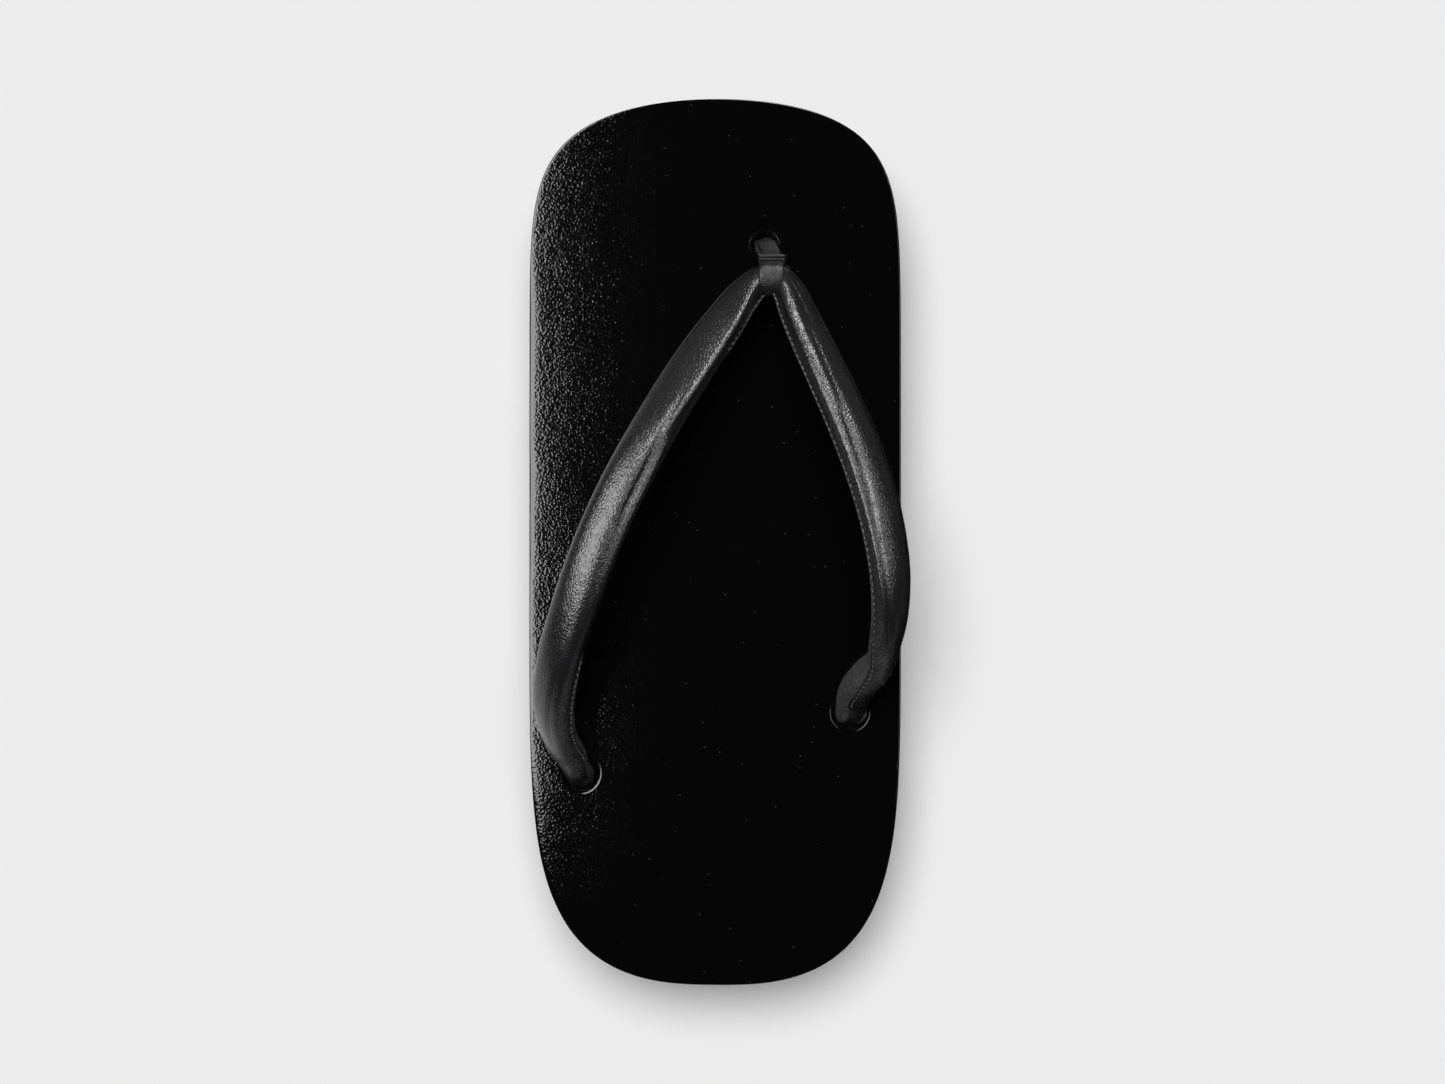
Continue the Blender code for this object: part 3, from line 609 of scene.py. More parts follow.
def loop_through(points, count):
    """A closed smooth curve through points, as count evenly spaced points."""
    points = np.array(points, float)
    before = np.roll(points, 1, axis=0)
    after = np.roll(points, -1, axis=0)
    beyond = np.roll(points, -2, axis=0)
    fine = []
    for t in np.linspace(0.0, 1.0, 12, endpoint=False):
        fine.append(
            0.5
            * (
                2 * points
                + (after - before) * t
                + (2 * before - 5 * points + 4 * after - beyond) * t**2
                + (3 * points - before - 3 * after + beyond) * t**3
            )
        )
    curve = np.stack(fine, axis=1).reshape(-1, points.shape[1])
    closed = np.concatenate([curve, curve[:1]])
    along = np.concatenate([[0.0], np.cumsum(np.linalg.norm(np.diff(closed, axis=0), axis=1))])
    wanted = np.linspace(0.0, along[-1], count, endpoint=False)
    return np.stack([np.interp(wanted, along, closed[:, k]) for k in range(points.shape[1])], axis=1)


def unit(vectors):
    return vectors / np.linalg.norm(vectors, axis=-1, keepdims=True)


def frames_along(rows):
    """Middle, across direction and face direction of the section at each row."""
    middles = rows[:, :3] + (0.0, 0.0, FOOTBED_TOP)
    along = unit(np.gradient(middles, axis=0))
    heading = np.radians(rows[:, 5])
    lean = np.radians(rows[:, 6])
    tilt = np.sin(lean)
    face = np.stack([tilt * np.cos(heading), tilt * np.sin(heading), np.cos(lean)], axis=1)
    face = unit(face - np.sum(face * along, axis=1, keepdims=True) * along)
    return middles, np.cross(face, along), face, along


def outline_half_width(y):
    end = TOE_END if y > 0 else HEEL_END
    inside = max(0.0, 1.0 - abs(y / HALF_LENGTH) ** end.run)
    return HALF_WIDTH * inside ** (1.0 / end.corner)


def outline_quarter(end):
    """Points and outward normals of one quarter of the outline, from the tip of the end to the side."""
    turn = np.linspace(math.pi / 2, 0.0, OUTLINE_FINE_STEPS)
    x = HALF_WIDTH * np.cos(turn) ** (2.0 / end.corner)
    y = HALF_LENGTH * np.sin(turn) ** (2.0 / end.run)
    x[0] = 0.0
    nx = end.corner / HALF_WIDTH * (x / HALF_WIDTH) ** (end.corner - 1.0)
    ny = end.run / HALF_LENGTH * (y / HALF_LENGTH) ** (end.run - 1.0)
    return np.concatenate([np.stack([x, y], axis=1), unit(np.stack([nx, ny], axis=1))], axis=1)


def sole_outline():
    """Shared points of the outline with their normals, from the toe round the inner side and back."""
    toe = outline_quarter(TOE_END)
    heel = outline_quarter(HEEL_END)[::-1] * (1, -1, 1, -1)
    inner = np.concatenate([toe, heel[1:]])
    outer = inner[::-1] * (-1, 1, -1, 1)
    curve = np.concatenate([inner, outer[1:]])
    step = np.linalg.norm(np.diff(curve[:, :2], axis=0), axis=1)
    bend = np.linalg.norm(np.diff(curve[:, 2:], axis=0), axis=1)
    share = step / step.sum() + OUTLINE_TURN_SHARE * bend / bend.sum()
    along = np.concatenate([[0.0], np.cumsum(share)])
    wanted = np.linspace(0.0, along[-1], OUTLINE_POINTS, endpoint=False)
    rows = np.stack([np.interp(wanted, along, curve[:, k]) for k in range(4)], axis=1)
    rows[:, 2:] = unit(rows[:, 2:])
    return rows


# Materials


def linear(hex_colour):
    """An sRGB hex colour as linear red, green, blue and alpha."""
    channels = [int(hex_colour[k : k + 2], 16) / 255 for k in (1, 3, 5)]
    curve = [c / 12.92 if c <= 0.04045 else ((c + 0.055) / 1.055) ** 2.4 for c in channels]
    return (*curve, 1.0)


def add_node(tree, kind, inputs=None, **settings):
    """A node with its settings; inputs holds values, or the outputs of other nodes to link."""
    node = tree.nodes.new(kind)
    for name, value in settings.items():
        setattr(node, name, value)
    for name, value in (inputs or {}).items():
        if isinstance(value, bpy.types.NodeSocket):
            tree.links.new(value, node.inputs[name])
        else:
            node.inputs[name].default_value = value
    return node


def new_material(name):
    """An empty material: its node tree, its shader and the piece's own coordinates in metres."""
    material = bpy.data.materials.new(name)
    material.use_nodes = True
    tree = material.node_tree
    tree.nodes.clear()
    shader = add_node(tree, "ShaderNodeBsdfPrincipled")
    output = add_node(tree, "ShaderNodeOutputMaterial", {"Surface": shader.outputs["BSDF"]})
    output.location = (300, 0)
    where = add_node(tree, "ShaderNodeTexCoord")
    return material, tree, shader, where.outputs["Object"]


def per_metre(size_mm):
    """Texture scale that gives cells of size_mm."""
    return 1.0 / (size_mm * MM)


def add_noise(tree, where, size_mm, detail):
    """Cloudy noise with blots of about size_mm."""
    inputs = {"Vector": where, "Scale": per_metre(size_mm), "Detail": detail}
    return add_node(tree, "ShaderNodeTexNoise", inputs)


def add_cells(tree, where, size_mm, feature):
    """Uneven cells of about size_mm."""
    inputs = {"Vector": where, "Scale": per_metre(size_mm), "Randomness": 1.0}
    return add_node(tree, "ShaderNodeTexVoronoi", inputs, feature=feature)


def add_bump(tree, height, depth_mm, **more):
    """Relief from a pattern, with depth_mm between its lowest and its highest value."""
    return add_node(tree, "ShaderNodeBump", {"Height": height, "Distance": depth_mm * MM, **more})


def ramp(tree, factor, stops):
    """A colour ramp through (position, hex colour) stops."""
    node = add_node(tree, "ShaderNodeValToRGB", {"Fac": factor})
    elements = node.color_ramp.elements
    while len(elements) < len(stops):
        elements.new(0.5)
    for element, (position, colour) in zip(elements, stops):
        element.position = position
        element.color = linear(colour)
    return node.outputs["Color"]


def make_calf_leather(name, smoothest, roughest, sheen):
    """Dyed calf, drawn over stuffing: a fine tight grain, a soft sheen and a faint cloudiness of tone."""
    material, tree, shader, where = new_material(name)
    grain = add_cells(tree, where, CALF_GRAIN, "DISTANCE_TO_EDGE")
    pores = add_noise(tree, where, CALF_PORES, detail=2.0)
    cloud = add_noise(tree, where, CALF_CLOUDS, detail=3.0)
    colour = ramp(tree, cloud.outputs["Fac"], ((0.3, "#161517"), (0.7, "#1B1A1C")))
    tree.links.new(colour, shader.inputs["Base Color"])
    rough = add_node(
        tree, "ShaderNodeMapRange",
        {
            "Value": pores.outputs["Fac"],
            "From Min": 0.3,
            "From Max": 0.7,
            "To Min": smoothest,
            "To Max": roughest,
        },
    )
    tree.links.new(rough.outputs["Result"], shader.inputs["Roughness"])
    low = add_bump(tree, grain.outputs["Distance"], CALF_GRAIN_DEPTH)
    high = add_bump(tree, pores.outputs["Fac"], CALF_PORE_DEPTH, Normal=low.outputs["Normal"])
    tree.links.new(high.outputs["Normal"], shader.inputs["Normal"])
    shader.inputs["IOR"].default_value = 1.5
    shader.inputs["Specular IOR Level"].default_value = sheen
    return material


def make_glazed_leather():
    """Pressed and glazed footbed leather: near black, glossy, with a pebble grain and a few pale specks."""
    material, tree, shader, where = new_material("glazed footbed leather")
    pebble = add_cells(tree, where, GLAZE_PEBBLES, "SMOOTH_F1")
    pits = add_noise(tree, where, GLAZE_PITS, detail=1.0)
    swell = add_noise(tree, where, GLAZE_SWELLS, detail=2.0)
    specks = add_cells(tree, where, SPECK_SPACING, "F1")
    colour = ramp(tree, specks.outputs["Distance"], ((0.0, "#66666A"), (0.05, "#060607")))
    tree.links.new(colour, shader.inputs["Base Color"])
    shader.inputs["Roughness"].default_value = 0.5
    shader.inputs["Specular IOR Level"].default_value = 0.0
    shader.inputs["Coat Weight"].default_value = 0.6
    shader.inputs["Coat Roughness"].default_value = 0.06
    broad = add_bump(tree, swell.outputs["Fac"], GLAZE_SWELL_DEPTH)
    low = add_bump(tree, pebble.outputs["Distance"], GLAZE_PEBBLE_DEPTH, Normal=broad.outputs["Normal"])
    high = add_bump(tree, pits.outputs["Fac"], GLAZE_PIT_DEPTH, Normal=low.outputs["Normal"])
    tree.links.new(high.outputs["Normal"], shader.inputs["Normal"])
    tree.links.new(high.outputs["Normal"], shader.inputs["Coat Normal"])
    return material


def make_stained_wood():
    """Straight-grained paulownia, planed, stained dark and waxed: growth rings drawn out along the sole."""
    material, tree, shader, where = new_material("stained paulownia")
    stretched = add_node(tree, "ShaderNodeMapping", {"Vector": where, "Scale": (1.0, WOOD_STRETCH, 1.0)})
    rings = add_node(
        tree, "ShaderNodeTexWave",
        {
            "Vector": stretched.outputs["Vector"],
            "Scale": WOOD_RINGS,
            "Distortion": 3.0,
            "Detail": 2.0,
            "Detail Scale": 1.5,
        },
        wave_type="RINGS", rings_direction="Y",
    )
    pores = add_noise(tree, stretched.outputs["Vector"], WOOD_PORES, detail=3.0)
    colour = ramp(tree, rings.outputs["Color"], ((0.0, "#2E1F18"), (0.55, "#3F2C22"), (1.0, "#4B362B")))
    dark = add_node(
        tree, "ShaderNodeMix",
        {0: pores.outputs["Fac"], 6: colour, 7: linear("#241811")}, data_type="RGBA", blend_type="MIX",
    )
    tree.links.new(dark.outputs[2], shader.inputs["Base Color"])
    shader.inputs["Roughness"].default_value = 0.42
    bump = add_bump(tree, pores.outputs["Fac"], WOOD_PORE_DEPTH, Strength=0.3)
    tree.links.new(bump.outputs["Normal"], shader.inputs["Normal"])
    return material


def make_lining():
    """Split suede under the straps: matt charcoal with a short nap."""
    material, tree, shader, where = new_material("charcoal suede lining")
    nap = add_noise(tree, where, SUEDE_NAP, detail=3.0)
    colour = ramp(tree, nap.outputs["Fac"], ((0.35, "#0E0D0E"), (0.65, "#3E3B3E")))
    tree.links.new(colour, shader.inputs["Base Color"])
    shader.inputs["Roughness"].default_value = 0.85
    bump = add_bump(tree, nap.outputs["Fac"], SUEDE_NAP_DEPTH)
    tree.links.new(bump.outputs["Normal"], shader.inputs["Normal"])
    return material


def make_thread(name, dark, light, roughness):
    """Twisted thread or cord, with its strands as fine slanting ridges."""
    material, tree, shader, where = new_material(name)
    strands = add_node(
        tree, "ShaderNodeTexWave",
        {"Vector": where, "Scale": THREAD_STRANDS * per_metre(1.0), "Distortion": 1.5},
        wave_type="BANDS", bands_direction="DIAGONAL",
    )
    colour = ramp(tree, strands.outputs["Color"], ((0.0, dark), (1.0, light)))
    tree.links.new(colour, shader.inputs["Base Color"])
    shader.inputs["Roughness"].default_value = roughness
    bump = add_bump(tree, strands.outputs["Fac"], THREAD_STRAND_DEPTH, Strength=0.5)
    tree.links.new(bump.outputs["Normal"], shader.inputs["Normal"])
    return material


def make_backdrop():
    """Seamless pale paper, matt, so that it shows the sandal's soft shadow and no gloss."""
    material, tree, shader, where = new_material("pale studio paper")
    shader.inputs["Base Color"].default_value = linear("#EDEDED")
    shader.inputs["Roughness"].default_value = 0.9
    shader.inputs["Specular IOR Level"].default_value = 0.0
    return material


def make_black_card():
    """Matt black card, which gives the gloss that faces it nothing to mirror."""
    material, tree, shader, where = new_material("matt black card")
    shader.inputs["Base Color"].default_value = linear("#050505")
    shader.inputs["Roughness"].default_value = 1.0
    shader.inputs["Specular IOR Level"].default_value = 0.0
    return material


# Base and footbed


def make_bore_cutter(bore, rows):
    """A round solid on a bore's axis, from (radius, height) rows; what is wider than it is drawn aside."""
    turns = np.linspace(0.0, 2.0 * math.pi, BORE_SIDES, endpoint=False)
    rings = []
    for radius, height in rows:
        wider = max(0.0, radius - bore.radius)
        x = bore.x + wider * bore.pull_x + radius * np.cos(turns)
        y = bore.y + wider * bore.pull_y + radius * np.sin(turns)
        rings.append(np.stack([x, y, np.full(BORE_SIDES, height)], axis=1))
    return make_tube(f"{bore.name}_cutter", rings, None)


def underside_stations(outline):
    """Stations along the sole from heel to toe, and the height of the underside at each."""
    known = {
        -HALF_LENGTH: HEEL_UNDERSIDE,
        REAR_TOOTH.rear - TOOTH_DRAFT: PLATE_UNDERSIDE,
        REAR_TOOTH.rear: 0.0,
        REAR_TOOTH.front: 0.0,
        REAR_TOOTH.front + TOOTH_DRAFT: PLATE_UNDERSIDE,
        FRONT_TOOTH.rear - TOOTH_DRAFT: PLATE_UNDERSIDE,
        FRONT_TOOTH.rear: 0.0,
        FRONT_TOOTH.front: 0.0,
        FRONT_TOOTH.front + TOOTH_DRAFT: PLATE_UNDERSIDE,
        HALF_LENGTH: TOE_UNDERSIDE,
    }
    corners = sorted(known)
    spacing = 2.0 * TOOTH_DRAFT
    free = [float(y) for x, y in outline[:, :2] if x >= 0 and min(abs(y - c) for c in corners) > spacing]
    stations = sorted(corners + free)
    return stations, np.interp(stations, corners, [known[y] for y in corners])


def make_base(outline, material):
    """The carved base: at each station a top, a side and an underside run across its width."""
    stations, underside = underside_stations(outline)
    points = []
    for y, low in zip(stations, underside):
        half = outline_half_width(y)
        for z in (DAI_TOP, low):
            narrow = 1.0 - SIDE_TAPER / HALF_WIDTH * (DAI_TOP - z) / DAI_TOP
            points.append((half * narrow, y, z))
            points.append((-half * narrow, y, z))
    faces = []
    last = len(stations) - 1
    for a in range(0, 4 * last, 4):
        b = a + 4
        faces.append((a, b, b + 1, a + 1))
        faces.append((a + 2, a + 3, b + 3, b + 2))
        faces.append((a, a + 2, b + 2, b))
        faces.append((a + 1, b + 1, b + 3, a + 3))
    faces += [(0, 1, 3, 2), (4 * last, 4 * last + 1, 4 * last + 3, 4 * last + 2)]
    base = make_piece("carved_base", points, faces, material)
    merge = base.modifiers.new("merged tips", "WELD")
    merge.merge_threshold = 0.01 * MM
    edge = base.modifiers.new("eased edges", "BEVEL")
    edge.width = DAI_EDGE_RADIUS * MM
    edge.segments = 3
    edge.limit_method = "ANGLE"
    edge.angle_limit = math.radians(DAI_EDGE_ANGLE)
    apply_modifiers(base)
    ends = (PLATE_UNDERSIDE - CUTTER_REACH, FOOTBED_TOP + CUTTER_REACH)
    cut(base, [make_bore_cutter(bore, [(bore.radius, z) for z in ends]) for bore in BORES])
    shade_smooth(base, SHARP_ANGLE)
    return base


def edge_softness(outline):
    """How softly the cover is rolled at each point of the outline, from 0 to 1."""
    y = outline[:, 1]
    soft = OUTER_EDGE_SOFTNESS * smooth_step(-outline[:, 2], *OUTER_SIDE)
    soft *= 1.0 - smooth_step(y, *EDGE_TURNS_TIGHT)
    waves = np.sin(y / RIPPLE_LENGTH + RIPPLE_DRIFT * np.sin(y / RIPPLE_DRIFT_LENGTH))
    soft *= 1.0 - EDGE_RIPPLE * (0.5 + 0.5 * waves)
    beneath = smooth_step(y, *BENEATH_STRAP_STARTS) * (1.0 - smooth_step(y, *BENEATH_STRAP_ENDS))
    soft *= 1.0 - BENEATH_STRAP * beneath
    return soft + INNER_EDGE_SOFTNESS * smooth_step(outline[:, 2], *INNER_SIDE)


def make_footbed(outline, material):
    """The cover with its rolled edge, and a lip pressed down into each bore."""
    soft = edge_softness(outline)
    rings = []
    for row in FOOTBED_EDGE:
        inset = row.tight_inset + soft * (row.inset - row.tight_inset)
        below = row.tight_below + soft * (row.below - row.tight_below)
        inward = outline[:, :2] - inset[:, None] * outline[:, 2:]
        rings.append(np.column_stack([inward, FOOTBED_TOP - below]))
    footbed = make_tube("footbed_cover", rings, material)
    cutters = []
    for bore in BORES:
        rows = [(bore.radius, FOOTBED_UNDERSIDE - LIP_CUTTER_BELOW)]
        rows += [(bore.radius + bore.spread * row.grow, FOOTBED_TOP - row.depth) for row in LIP]
        rows.append((rows[-1][0], FOOTBED_TOP + LIP_CUTTER_ABOVE))
        cutters.append(make_bore_cutter(bore, rows))
    cut(footbed, cutters)
    shade_smooth(footbed, SHARP_ANGLE)
    level = footbed.modifiers.new("level top", "WEIGHTED_NORMAL")
    level.keep_sharp = True
    apply_modifiers(footbed)
    return footbed


# Straps


def strap_rows():
    """Rows of both straps at even distances, and each row's distance from the apex."""
    table = curve_through((*OUTER_STRAP, STRAP_APEX, *INNER_STRAP), STRAP_FINE_STEPS)
    along = distance_along(table)
    along -= along[len(OUTER_STRAP) * STRAP_FINE_STEPS]
    count = round((along[-1] - along[0]) / STRAP_RING_SPACING)
    places = np.linspace(along[0], along[-1], count)
    return rows_at(table, along, places), places


def strap_sections(rows, places, count):
    """The section's points at each row, as shares of its half width and half thickness."""
    form = np.repeat(loop_through(SECTION_STATIONS[0].section, count)[None], len(places), axis=0)
    for before, after in zip(SECTION_STATIONS, SECTION_STATIONS[1:]):
        share = smooth_step(places, before.distance, after.distance)[:, None, None]
        form += share * (loop_through(after.section, count) - loop_through(before.section, count))
    rounding = rows[:, 7][:, None, None]
    return (1.0 - rounding) * form + rounding * unit(form)


def crease_depth(places, across, up):
    """How far in the leather is pressed at each place, in millimetres."""
    depth = np.zeros(across.shape)
    for crease in STRAP_CREASES:
        start, end = sorted((crease.start, crease.end))
        fade = CREASE_FADE * (end - start)
        window = smooth_step(places, start, start + fade) * (1.0 - smooth_step(places, end - fade, end))
        near = np.exp(-(((across - crease.across) / crease.width) ** 2)) * (up > CREASE_LOWEST)
        depth += crease.depth * window[:, None] * near
    return depth


def make_strap_leather(rows, places, material):
    """Leather over stuffing: one tube from rear bore to rear bore, with the creases that bends press in."""
    middles, across, face, _ = frames_along(rows)
    form = strap_sections(rows, places, STRAP_RING_POINTS)
    wide = form[:, :, 0] * rows[:, 3:4] / 2
    tall = form[:, :, 1] * rows[:, 4:5] / 2
    depth = crease_depth(places, form[:, :, 0], form[:, :, 1])
    radius = np.hypot(wide, tall)
    shrink = 1.0 - depth / radius
    wide = wide * shrink
    tall = tall * shrink
    rings = middles[:, None] + wide[..., None] * across[:, None] + tall[..., None] * face[:, None]
    return make_tube("strap_leather", rings, material)


def make_lining_strip(rows, places, material):
    """A suede strip under the straps, let into the leather, with its inner edge just proud of the seam."""
    middles, across, face, _ = frames_along(rows)
    form = strap_sections(rows, places, STRAP_RING_POINTS)
    under = np.roll(form, -1, axis=1)[:, ::-1]
    outer_side = under[:, under_points()]
    outward = unit(outer_side)
    half = np.stack([rows[:, 3] / 2, rows[:, 4] / 2], axis=1)[:, None]
    edge = smooth_step(-outer_side[:, :, 0], *LINING_INNER_EDGE)
    proud = LINING_THICK / 2 - LINING_TUCK * tucked(places)[:, None] * edge
    outside = outer_side * half + proud[..., None] * outward
    inside = outer_side * half - LINING_THICK * outward
    section = np.concatenate([outside, inside[:, ::-1]], axis=1)
    rings = middles[:, None] + section[..., :1] * across[:, None] + section[..., 1:] * face[:, None]
    return make_tube("strap_lining", rings, material, soft_angle=50)


def tucked(places):
    """1 where the lining's inner edge is hidden under the outer strap, 0 elsewhere."""
    return smooth_step(-places, *TUCK_STARTS) * (1.0 - smooth_step(-places, *TUCK_ENDS))


def under_points():
    """Which points of the section, read backwards from the seam, lie under the strap."""
    form = np.roll(loop_through(REAR_SECTION, STRAP_RING_POINTS), -1, axis=0)[::-1]
    return np.flatnonzero(form[:, 1] < LINING_TOP)


def make_stitches(rows, places, material):
    """Running stitches along the seam at the inner edge, as one joined mesh."""
    middles, across, face, along = frames_along(rows)
    table = np.concatenate([middles, across, face, along, rows[:, 3:5]], axis=1)
    spots = np.arange(places[0] + STITCHES_START, places[-1] - STITCHES_START, STITCH_PITCH)
    points = []
    faces = []
    turns = np.linspace(0.0, 2.0 * math.pi, STITCH_SIDES, endpoint=False)
    for spot in spots:
        if abs(spot) < LOOP_REACH or tucked(spot) > STITCH_HIDDEN:
            continue
        row = rows_at(table, places, [spot])[0]
        middle, side, up, ahead = row[0:3], row[3:6], row[6:9], row[9:12]
        seat = middle - side * (row[12] / 2 * STITCH_SEAT_ACROSS) - up * (row[13] / 2 * STITCH_SEAT_DOWN)
        circle = np.cos(turns)[:, None] * side + np.sin(turns)[:, None] * up
        rings = []
        for share, thick in STITCH_PROFILE:
            centre = seat + ahead * share * STITCH_LENGTH - side * STITCH_PROUD
            rings.append(centre + STITCH_RADIUS * thick * circle)
        faces += skin_faces(len(STITCH_PROFILE), len(turns), offset=len(points))
        points += [tuple(p) for ring in rings for p in ring]
    return make_piece("strap_stitches", points, faces, material)


# Front loop


def make_loop_band(material):
    """The band round the straps: a flat leather strip with rounded rims that closes on itself."""
    path = loop_through(BAND_PATH, BAND_PATH_POINTS)
    ahead = unit(np.roll(path[:, :2], -1, axis=0) - np.roll(path[:, :2], 1, axis=0))
    outward = np.stack([-ahead[:, 1], ahead[:, 0]], axis=1)
    outward *= np.sign(np.sum(outward * path[:, :2], axis=1)).mean()
    turns = np.linspace(0.0, 2.0 * math.pi, BAND_SECTION_POINTS, endpoint=False)
    side = np.sign(np.cos(turns)) * np.abs(np.cos(turns)) ** BAND_SQUARE_WIDE
    level = np.sign(np.sin(turns)) * np.abs(np.sin(turns)) ** BAND_SQUARE_THICK
    inward = BAND_WALL / 2 * (1.0 - level)
    x = BAND_MIDDLE_X + path[:, 2:3] * side
    y = STRAP_APEX.y + path[:, 0:1] - outward[:, 0:1] * inward
    z = FOOTBED_TOP + STRAP_APEX.rise + path[:, 1:2] - outward[:, 1:2] * inward
    return make_tube("loop_band", np.stack([x, y, z], axis=2), material, closed_along=True)


def make_loop_stem(material):
    """Two plies of the band, pressed together, that go down into the front bore."""
    table = curve_through(LOOP_STEM, STEM_FINE_STEPS)
    heading = np.full(len(table), STEM_HEADING)
    rows = np.column_stack([table[:, :5], heading, table[:, 5]])
    middles, across, face, _ = frames_along(rows)
    ply = []
    for k in range(STEM_SECTION_POINTS):
        angle = 2.0 * math.pi * k / STEM_SECTION_POINTS
        c, s = math.cos(angle), math.sin(angle)
        wide = math.copysign(abs(c) ** STEM_SQUARE_WIDE, c)
        tall = math.copysign(abs(s) ** STEM_SQUARE_THICK, s)
        groove = GROOVE_DEPTH * math.exp(-((tall / GROOVE_WIDTH) ** 2)) * (abs(c) > GROOVE_STARTS)
        ply.append((wide * (1.0 - groove), tall))
    ply = np.array(ply)
    wide = ply[:, 0] * rows[:, 3:4] / 2
    tall = ply[:, 1] * rows[:, 4:5] / 2
    rings = middles[:, None] + wide[..., None] * across[:, None] + tall[..., None] * face[:, None]
    return make_tube("loop_stem", rings, material, soft_angle=60)


# Knots


def make_knot(name, x, y, cord_radius, knot_radius, material):
    """An overhand knot drawn up against the plate's underside."""
    t = np.linspace(0.0, 2.0 * math.pi, KNOT_TURN_POINTS, endpoint=False)
    level = PLATE_UNDERSIDE - KNOT_GAP - KNOT_DROP * cord_radius
    path = np.stack(
        [
            x + KNOT_SPREAD * knot_radius * (np.sin(t) + 2.0 * np.sin(2.0 * t)),
            y + KNOT_SPREAD * knot_radius * (np.cos(t) - 2.0 * np.cos(2.0 * t)),
            level - KNOT_WAVE * cord_radius * np.sin(3.0 * t),
        ],
        axis=1,
    )
    ahead = unit(np.roll(path, -1, axis=0) - np.roll(path, 1, axis=0))
    side = unit(np.cross(ahead, (0.0, 0.0, 1.0)))
    up = np.cross(side, ahead)
    turns = np.linspace(0.0, 2.0 * math.pi, KNOT_SIDES, endpoint=False)
    ring = np.cos(turns)[None, :, None] * side[:, None] + np.sin(turns)[None, :, None] * up[:, None]
    return make_tube(name, path[:, None] + cord_radius * ring, material, closed_along=True)


# Stage


def make_floor(material):
    size = FLOOR_HALF_METRES
    mesh = bpy.data.meshes.new("studio_floor")
    corners = [(-size, -size, 0.0), (size, -size, 0.0), (size, size, 0.0), (-size, size, 0.0)]
    mesh.from_pydata(corners, [], [(0, 1, 2, 3)])
    mesh.materials.append(material)
    floor = bpy.data.objects.new("studio_floor", mesh)
    bpy.context.scene.collection.objects.link(floor)


def make_camera():
    data = bpy.data.cameras.new("view from above")
    camera = bpy.data.objects.new("camera", data)
    bpy.context.scene.collection.objects.link(camera)
    data.sensor_width = SENSOR_WIDTH
    frame_height = 2.0 * HALF_LENGTH / SHOE_SHARE_OF_FRAME
    frame_width = frame_height * PHOTO_WIDTH / PHOTO_HEIGHT
    data.lens = SENSOR_WIDTH * CAMERA_RISE / frame_width
    spot = Vector(place((CAMERA_X, 0.0, FOOTBED_TOP + CAMERA_RISE)))
    back = (spot - Vector(place((AIM_X, 0.0, FOOTBED_TOP)))).normalized()
    toe = Vector((0.0, 1.0, 0.0))
    turn = Matrix((toe.cross(back), toe, back)).transposed()
    camera.matrix_world = Matrix.Translation(spot) @ turn.to_4x4()
    bpy.context.scene.camera = camera


def make_softbox(box):
    """A softbox overhead that only gloss sees, so the floor keeps its plain soft shadow."""
    data = bpy.data.lights.new(box.name, "AREA")
    data.shape = "RECTANGLE"
    data.size = (box.right - box.left) * MM
    data.size_y = (box.front - box.rear) * MM
    data.energy = box.radiance * math.pi * data.size * data.size_y
    light = bpy.data.objects.new(box.name, data)
    bpy.context.scene.collection.objects.link(light)
    x = CAMERA_X + (box.left + box.right) / 2
    y = (box.rear + box.front) / 2
    light.location = place((x, y, FOOTBED_TOP + SOFTBOX_RISE))
    light.visible_camera = False
    light.visible_diffuse = False


def make_card(card, material):
    """A black card that only gloss sees, so that what leans that way stays dark."""
    corners = [
        (card.left, card.rear, card.height),
        (card.right, card.rear, card.height),
        (card.right, card.front, card.height),
        (card.left, card.front, card.height),
    ]
    mesh = bpy.data.meshes.new(card.name)
    mesh.from_pydata(place(corners).tolist(), [], [(0, 1, 2, 3)])
    mesh.materials.append(material)
    sheet = bpy.data.objects.new(card.name, mesh)
    bpy.context.scene.collection.objects.link(sheet)
    sheet.visible_camera = False
    sheet.visible_diffuse = False
    sheet.visible_shadow = False


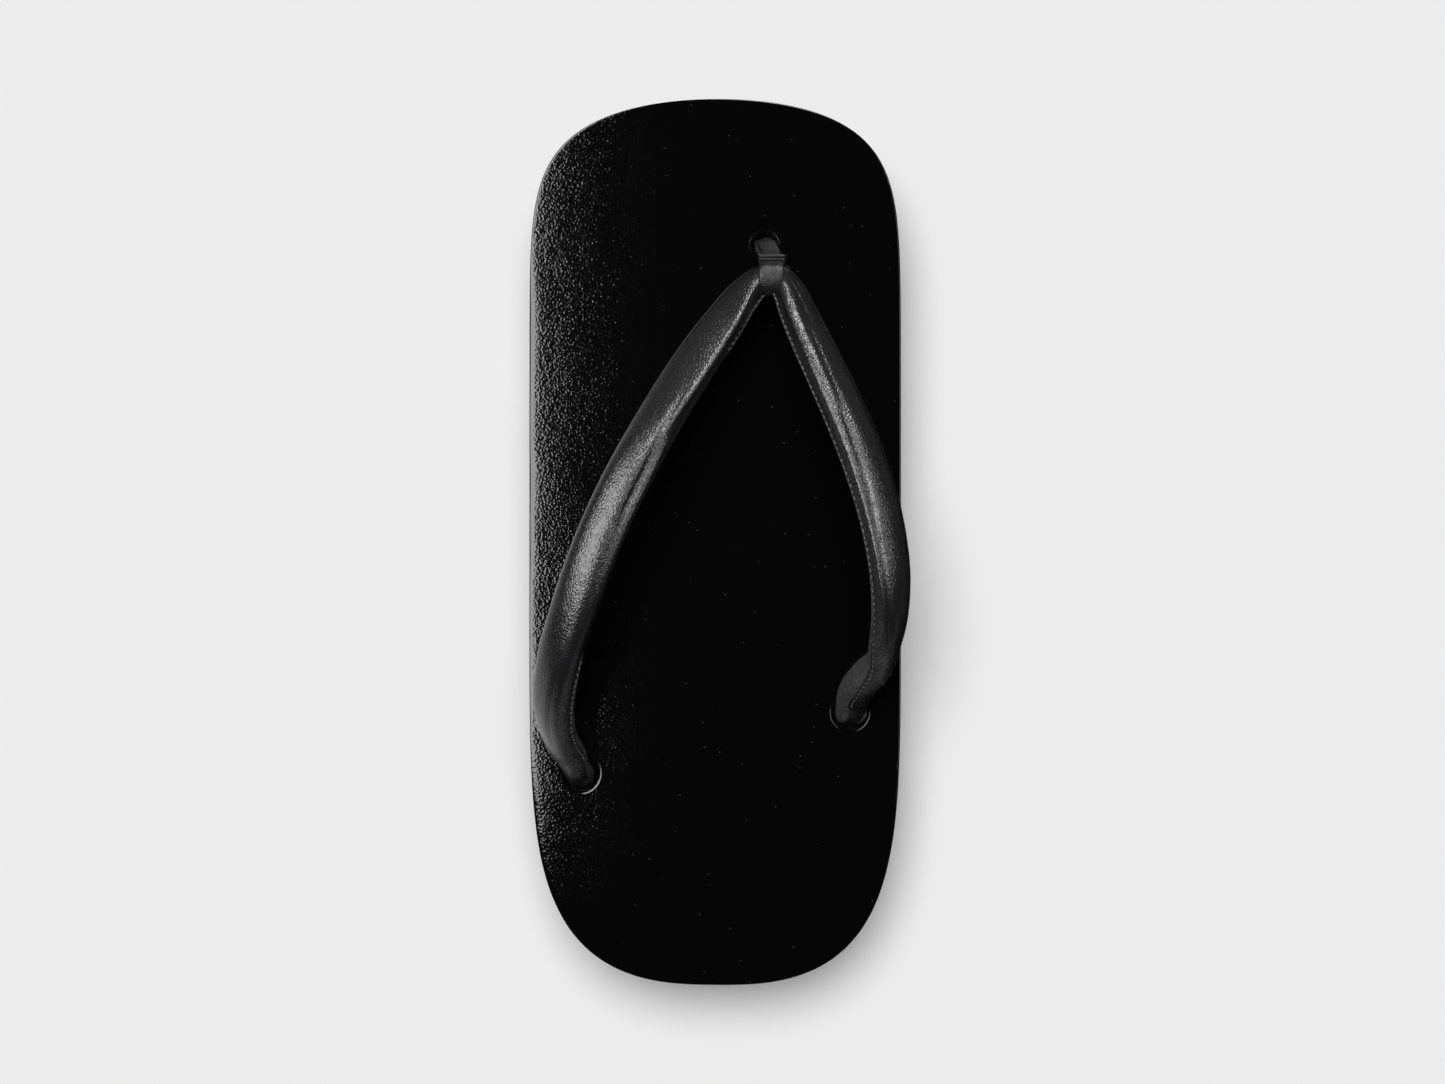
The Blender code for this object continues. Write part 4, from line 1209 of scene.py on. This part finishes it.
def make_lights():
    """A broad light overhead for the floor and its shadow, and softboxes on three sides for the gloss."""
    sun = bpy.data.lights.new("broad overhead light", "SUN")
    sun.energy = SUN_STRENGTH
    sun.angle = math.radians(SUN_ANGLE)
    overhead = bpy.data.objects.new("broad overhead light", sun)
    bpy.context.scene.collection.objects.link(overhead)
    overhead.rotation_euler = (math.radians(SUN_TILT), 0.0, 0.0)
    overhead.visible_glossy = False
    for box in SOFTBOXES:
        make_softbox(box)


def make_world():
    world = bpy.data.worlds.new("studio air")
    bpy.context.scene.world = world
    world.use_nodes = True
    tree = world.node_tree
    tree.nodes.clear()
    air = add_node(tree, "ShaderNodeBackground", {"Color": (1.0, 1.0, 1.0, 1.0), "Strength": AIR_STRENGTH})
    add_node(tree, "ShaderNodeOutputWorld", {"Surface": air.outputs["Background"]})
    world.cycles_visibility.glossy = False


def main():
    calf = make_calf_leather("dyed calf leather", 0.26, 0.32, 0.5)
    worn = make_calf_leather("dyed calf leather, rubbed matt", 0.36, 0.42, 0.26)
    glazed = make_glazed_leather()
    wood = make_stained_wood()
    suede = make_lining()
    thread = make_thread("waxed seam thread", "#343234", "#686668", 0.55)
    cord = make_thread("braided cotton cord", "#151416", "#2C2A2C", 0.8)
    outline = sole_outline()
    rows, places = strap_rows()
    base = make_base(outline, wood)
    footbed = make_footbed(outline, glazed)
    leather = make_strap_leather(rows, places, calf)
    lining = make_lining_strip(rows, places, suede)
    stitches = make_stitches(rows, places, thread)
    band = make_loop_band(worn)
    stem = make_loop_stem(worn)
    front, outer, inner = BORES
    front_knot = make_knot("front_knot", front.x, front.y, STEM_KNOT_CORD_RADIUS, STEM_KNOT_RADIUS, cord)
    outer_knot = make_knot("outer_knot", outer.x, outer.y, KNOT_CORD_RADIUS, KNOT_RADIUS, cord)
    inner_knot = make_knot("inner_knot", inner.x, inner.y, KNOT_CORD_RADIUS, KNOT_RADIUS, cord)
    for piece, node in (
        (base, "dai"),
        (footbed, "footbed"),
        (leather, "straps"),
        (lining, "straps"),
        (stitches, "straps"),
        (band, "front_loop"),
        (stem, "front_loop"),
        (front_knot, "front_loop"),
        (outer_knot, "straps"),
        (inner_knot, "straps"),
    ):
        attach(piece, "root")
        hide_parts(node)
    make_floor(make_backdrop())
    black = make_black_card()
    for card in CARDS:
        make_card(card, black)
    make_camera()
    make_lights()
    make_world()
    view = bpy.context.scene.view_settings
    view.view_transform = "Standard"


main()
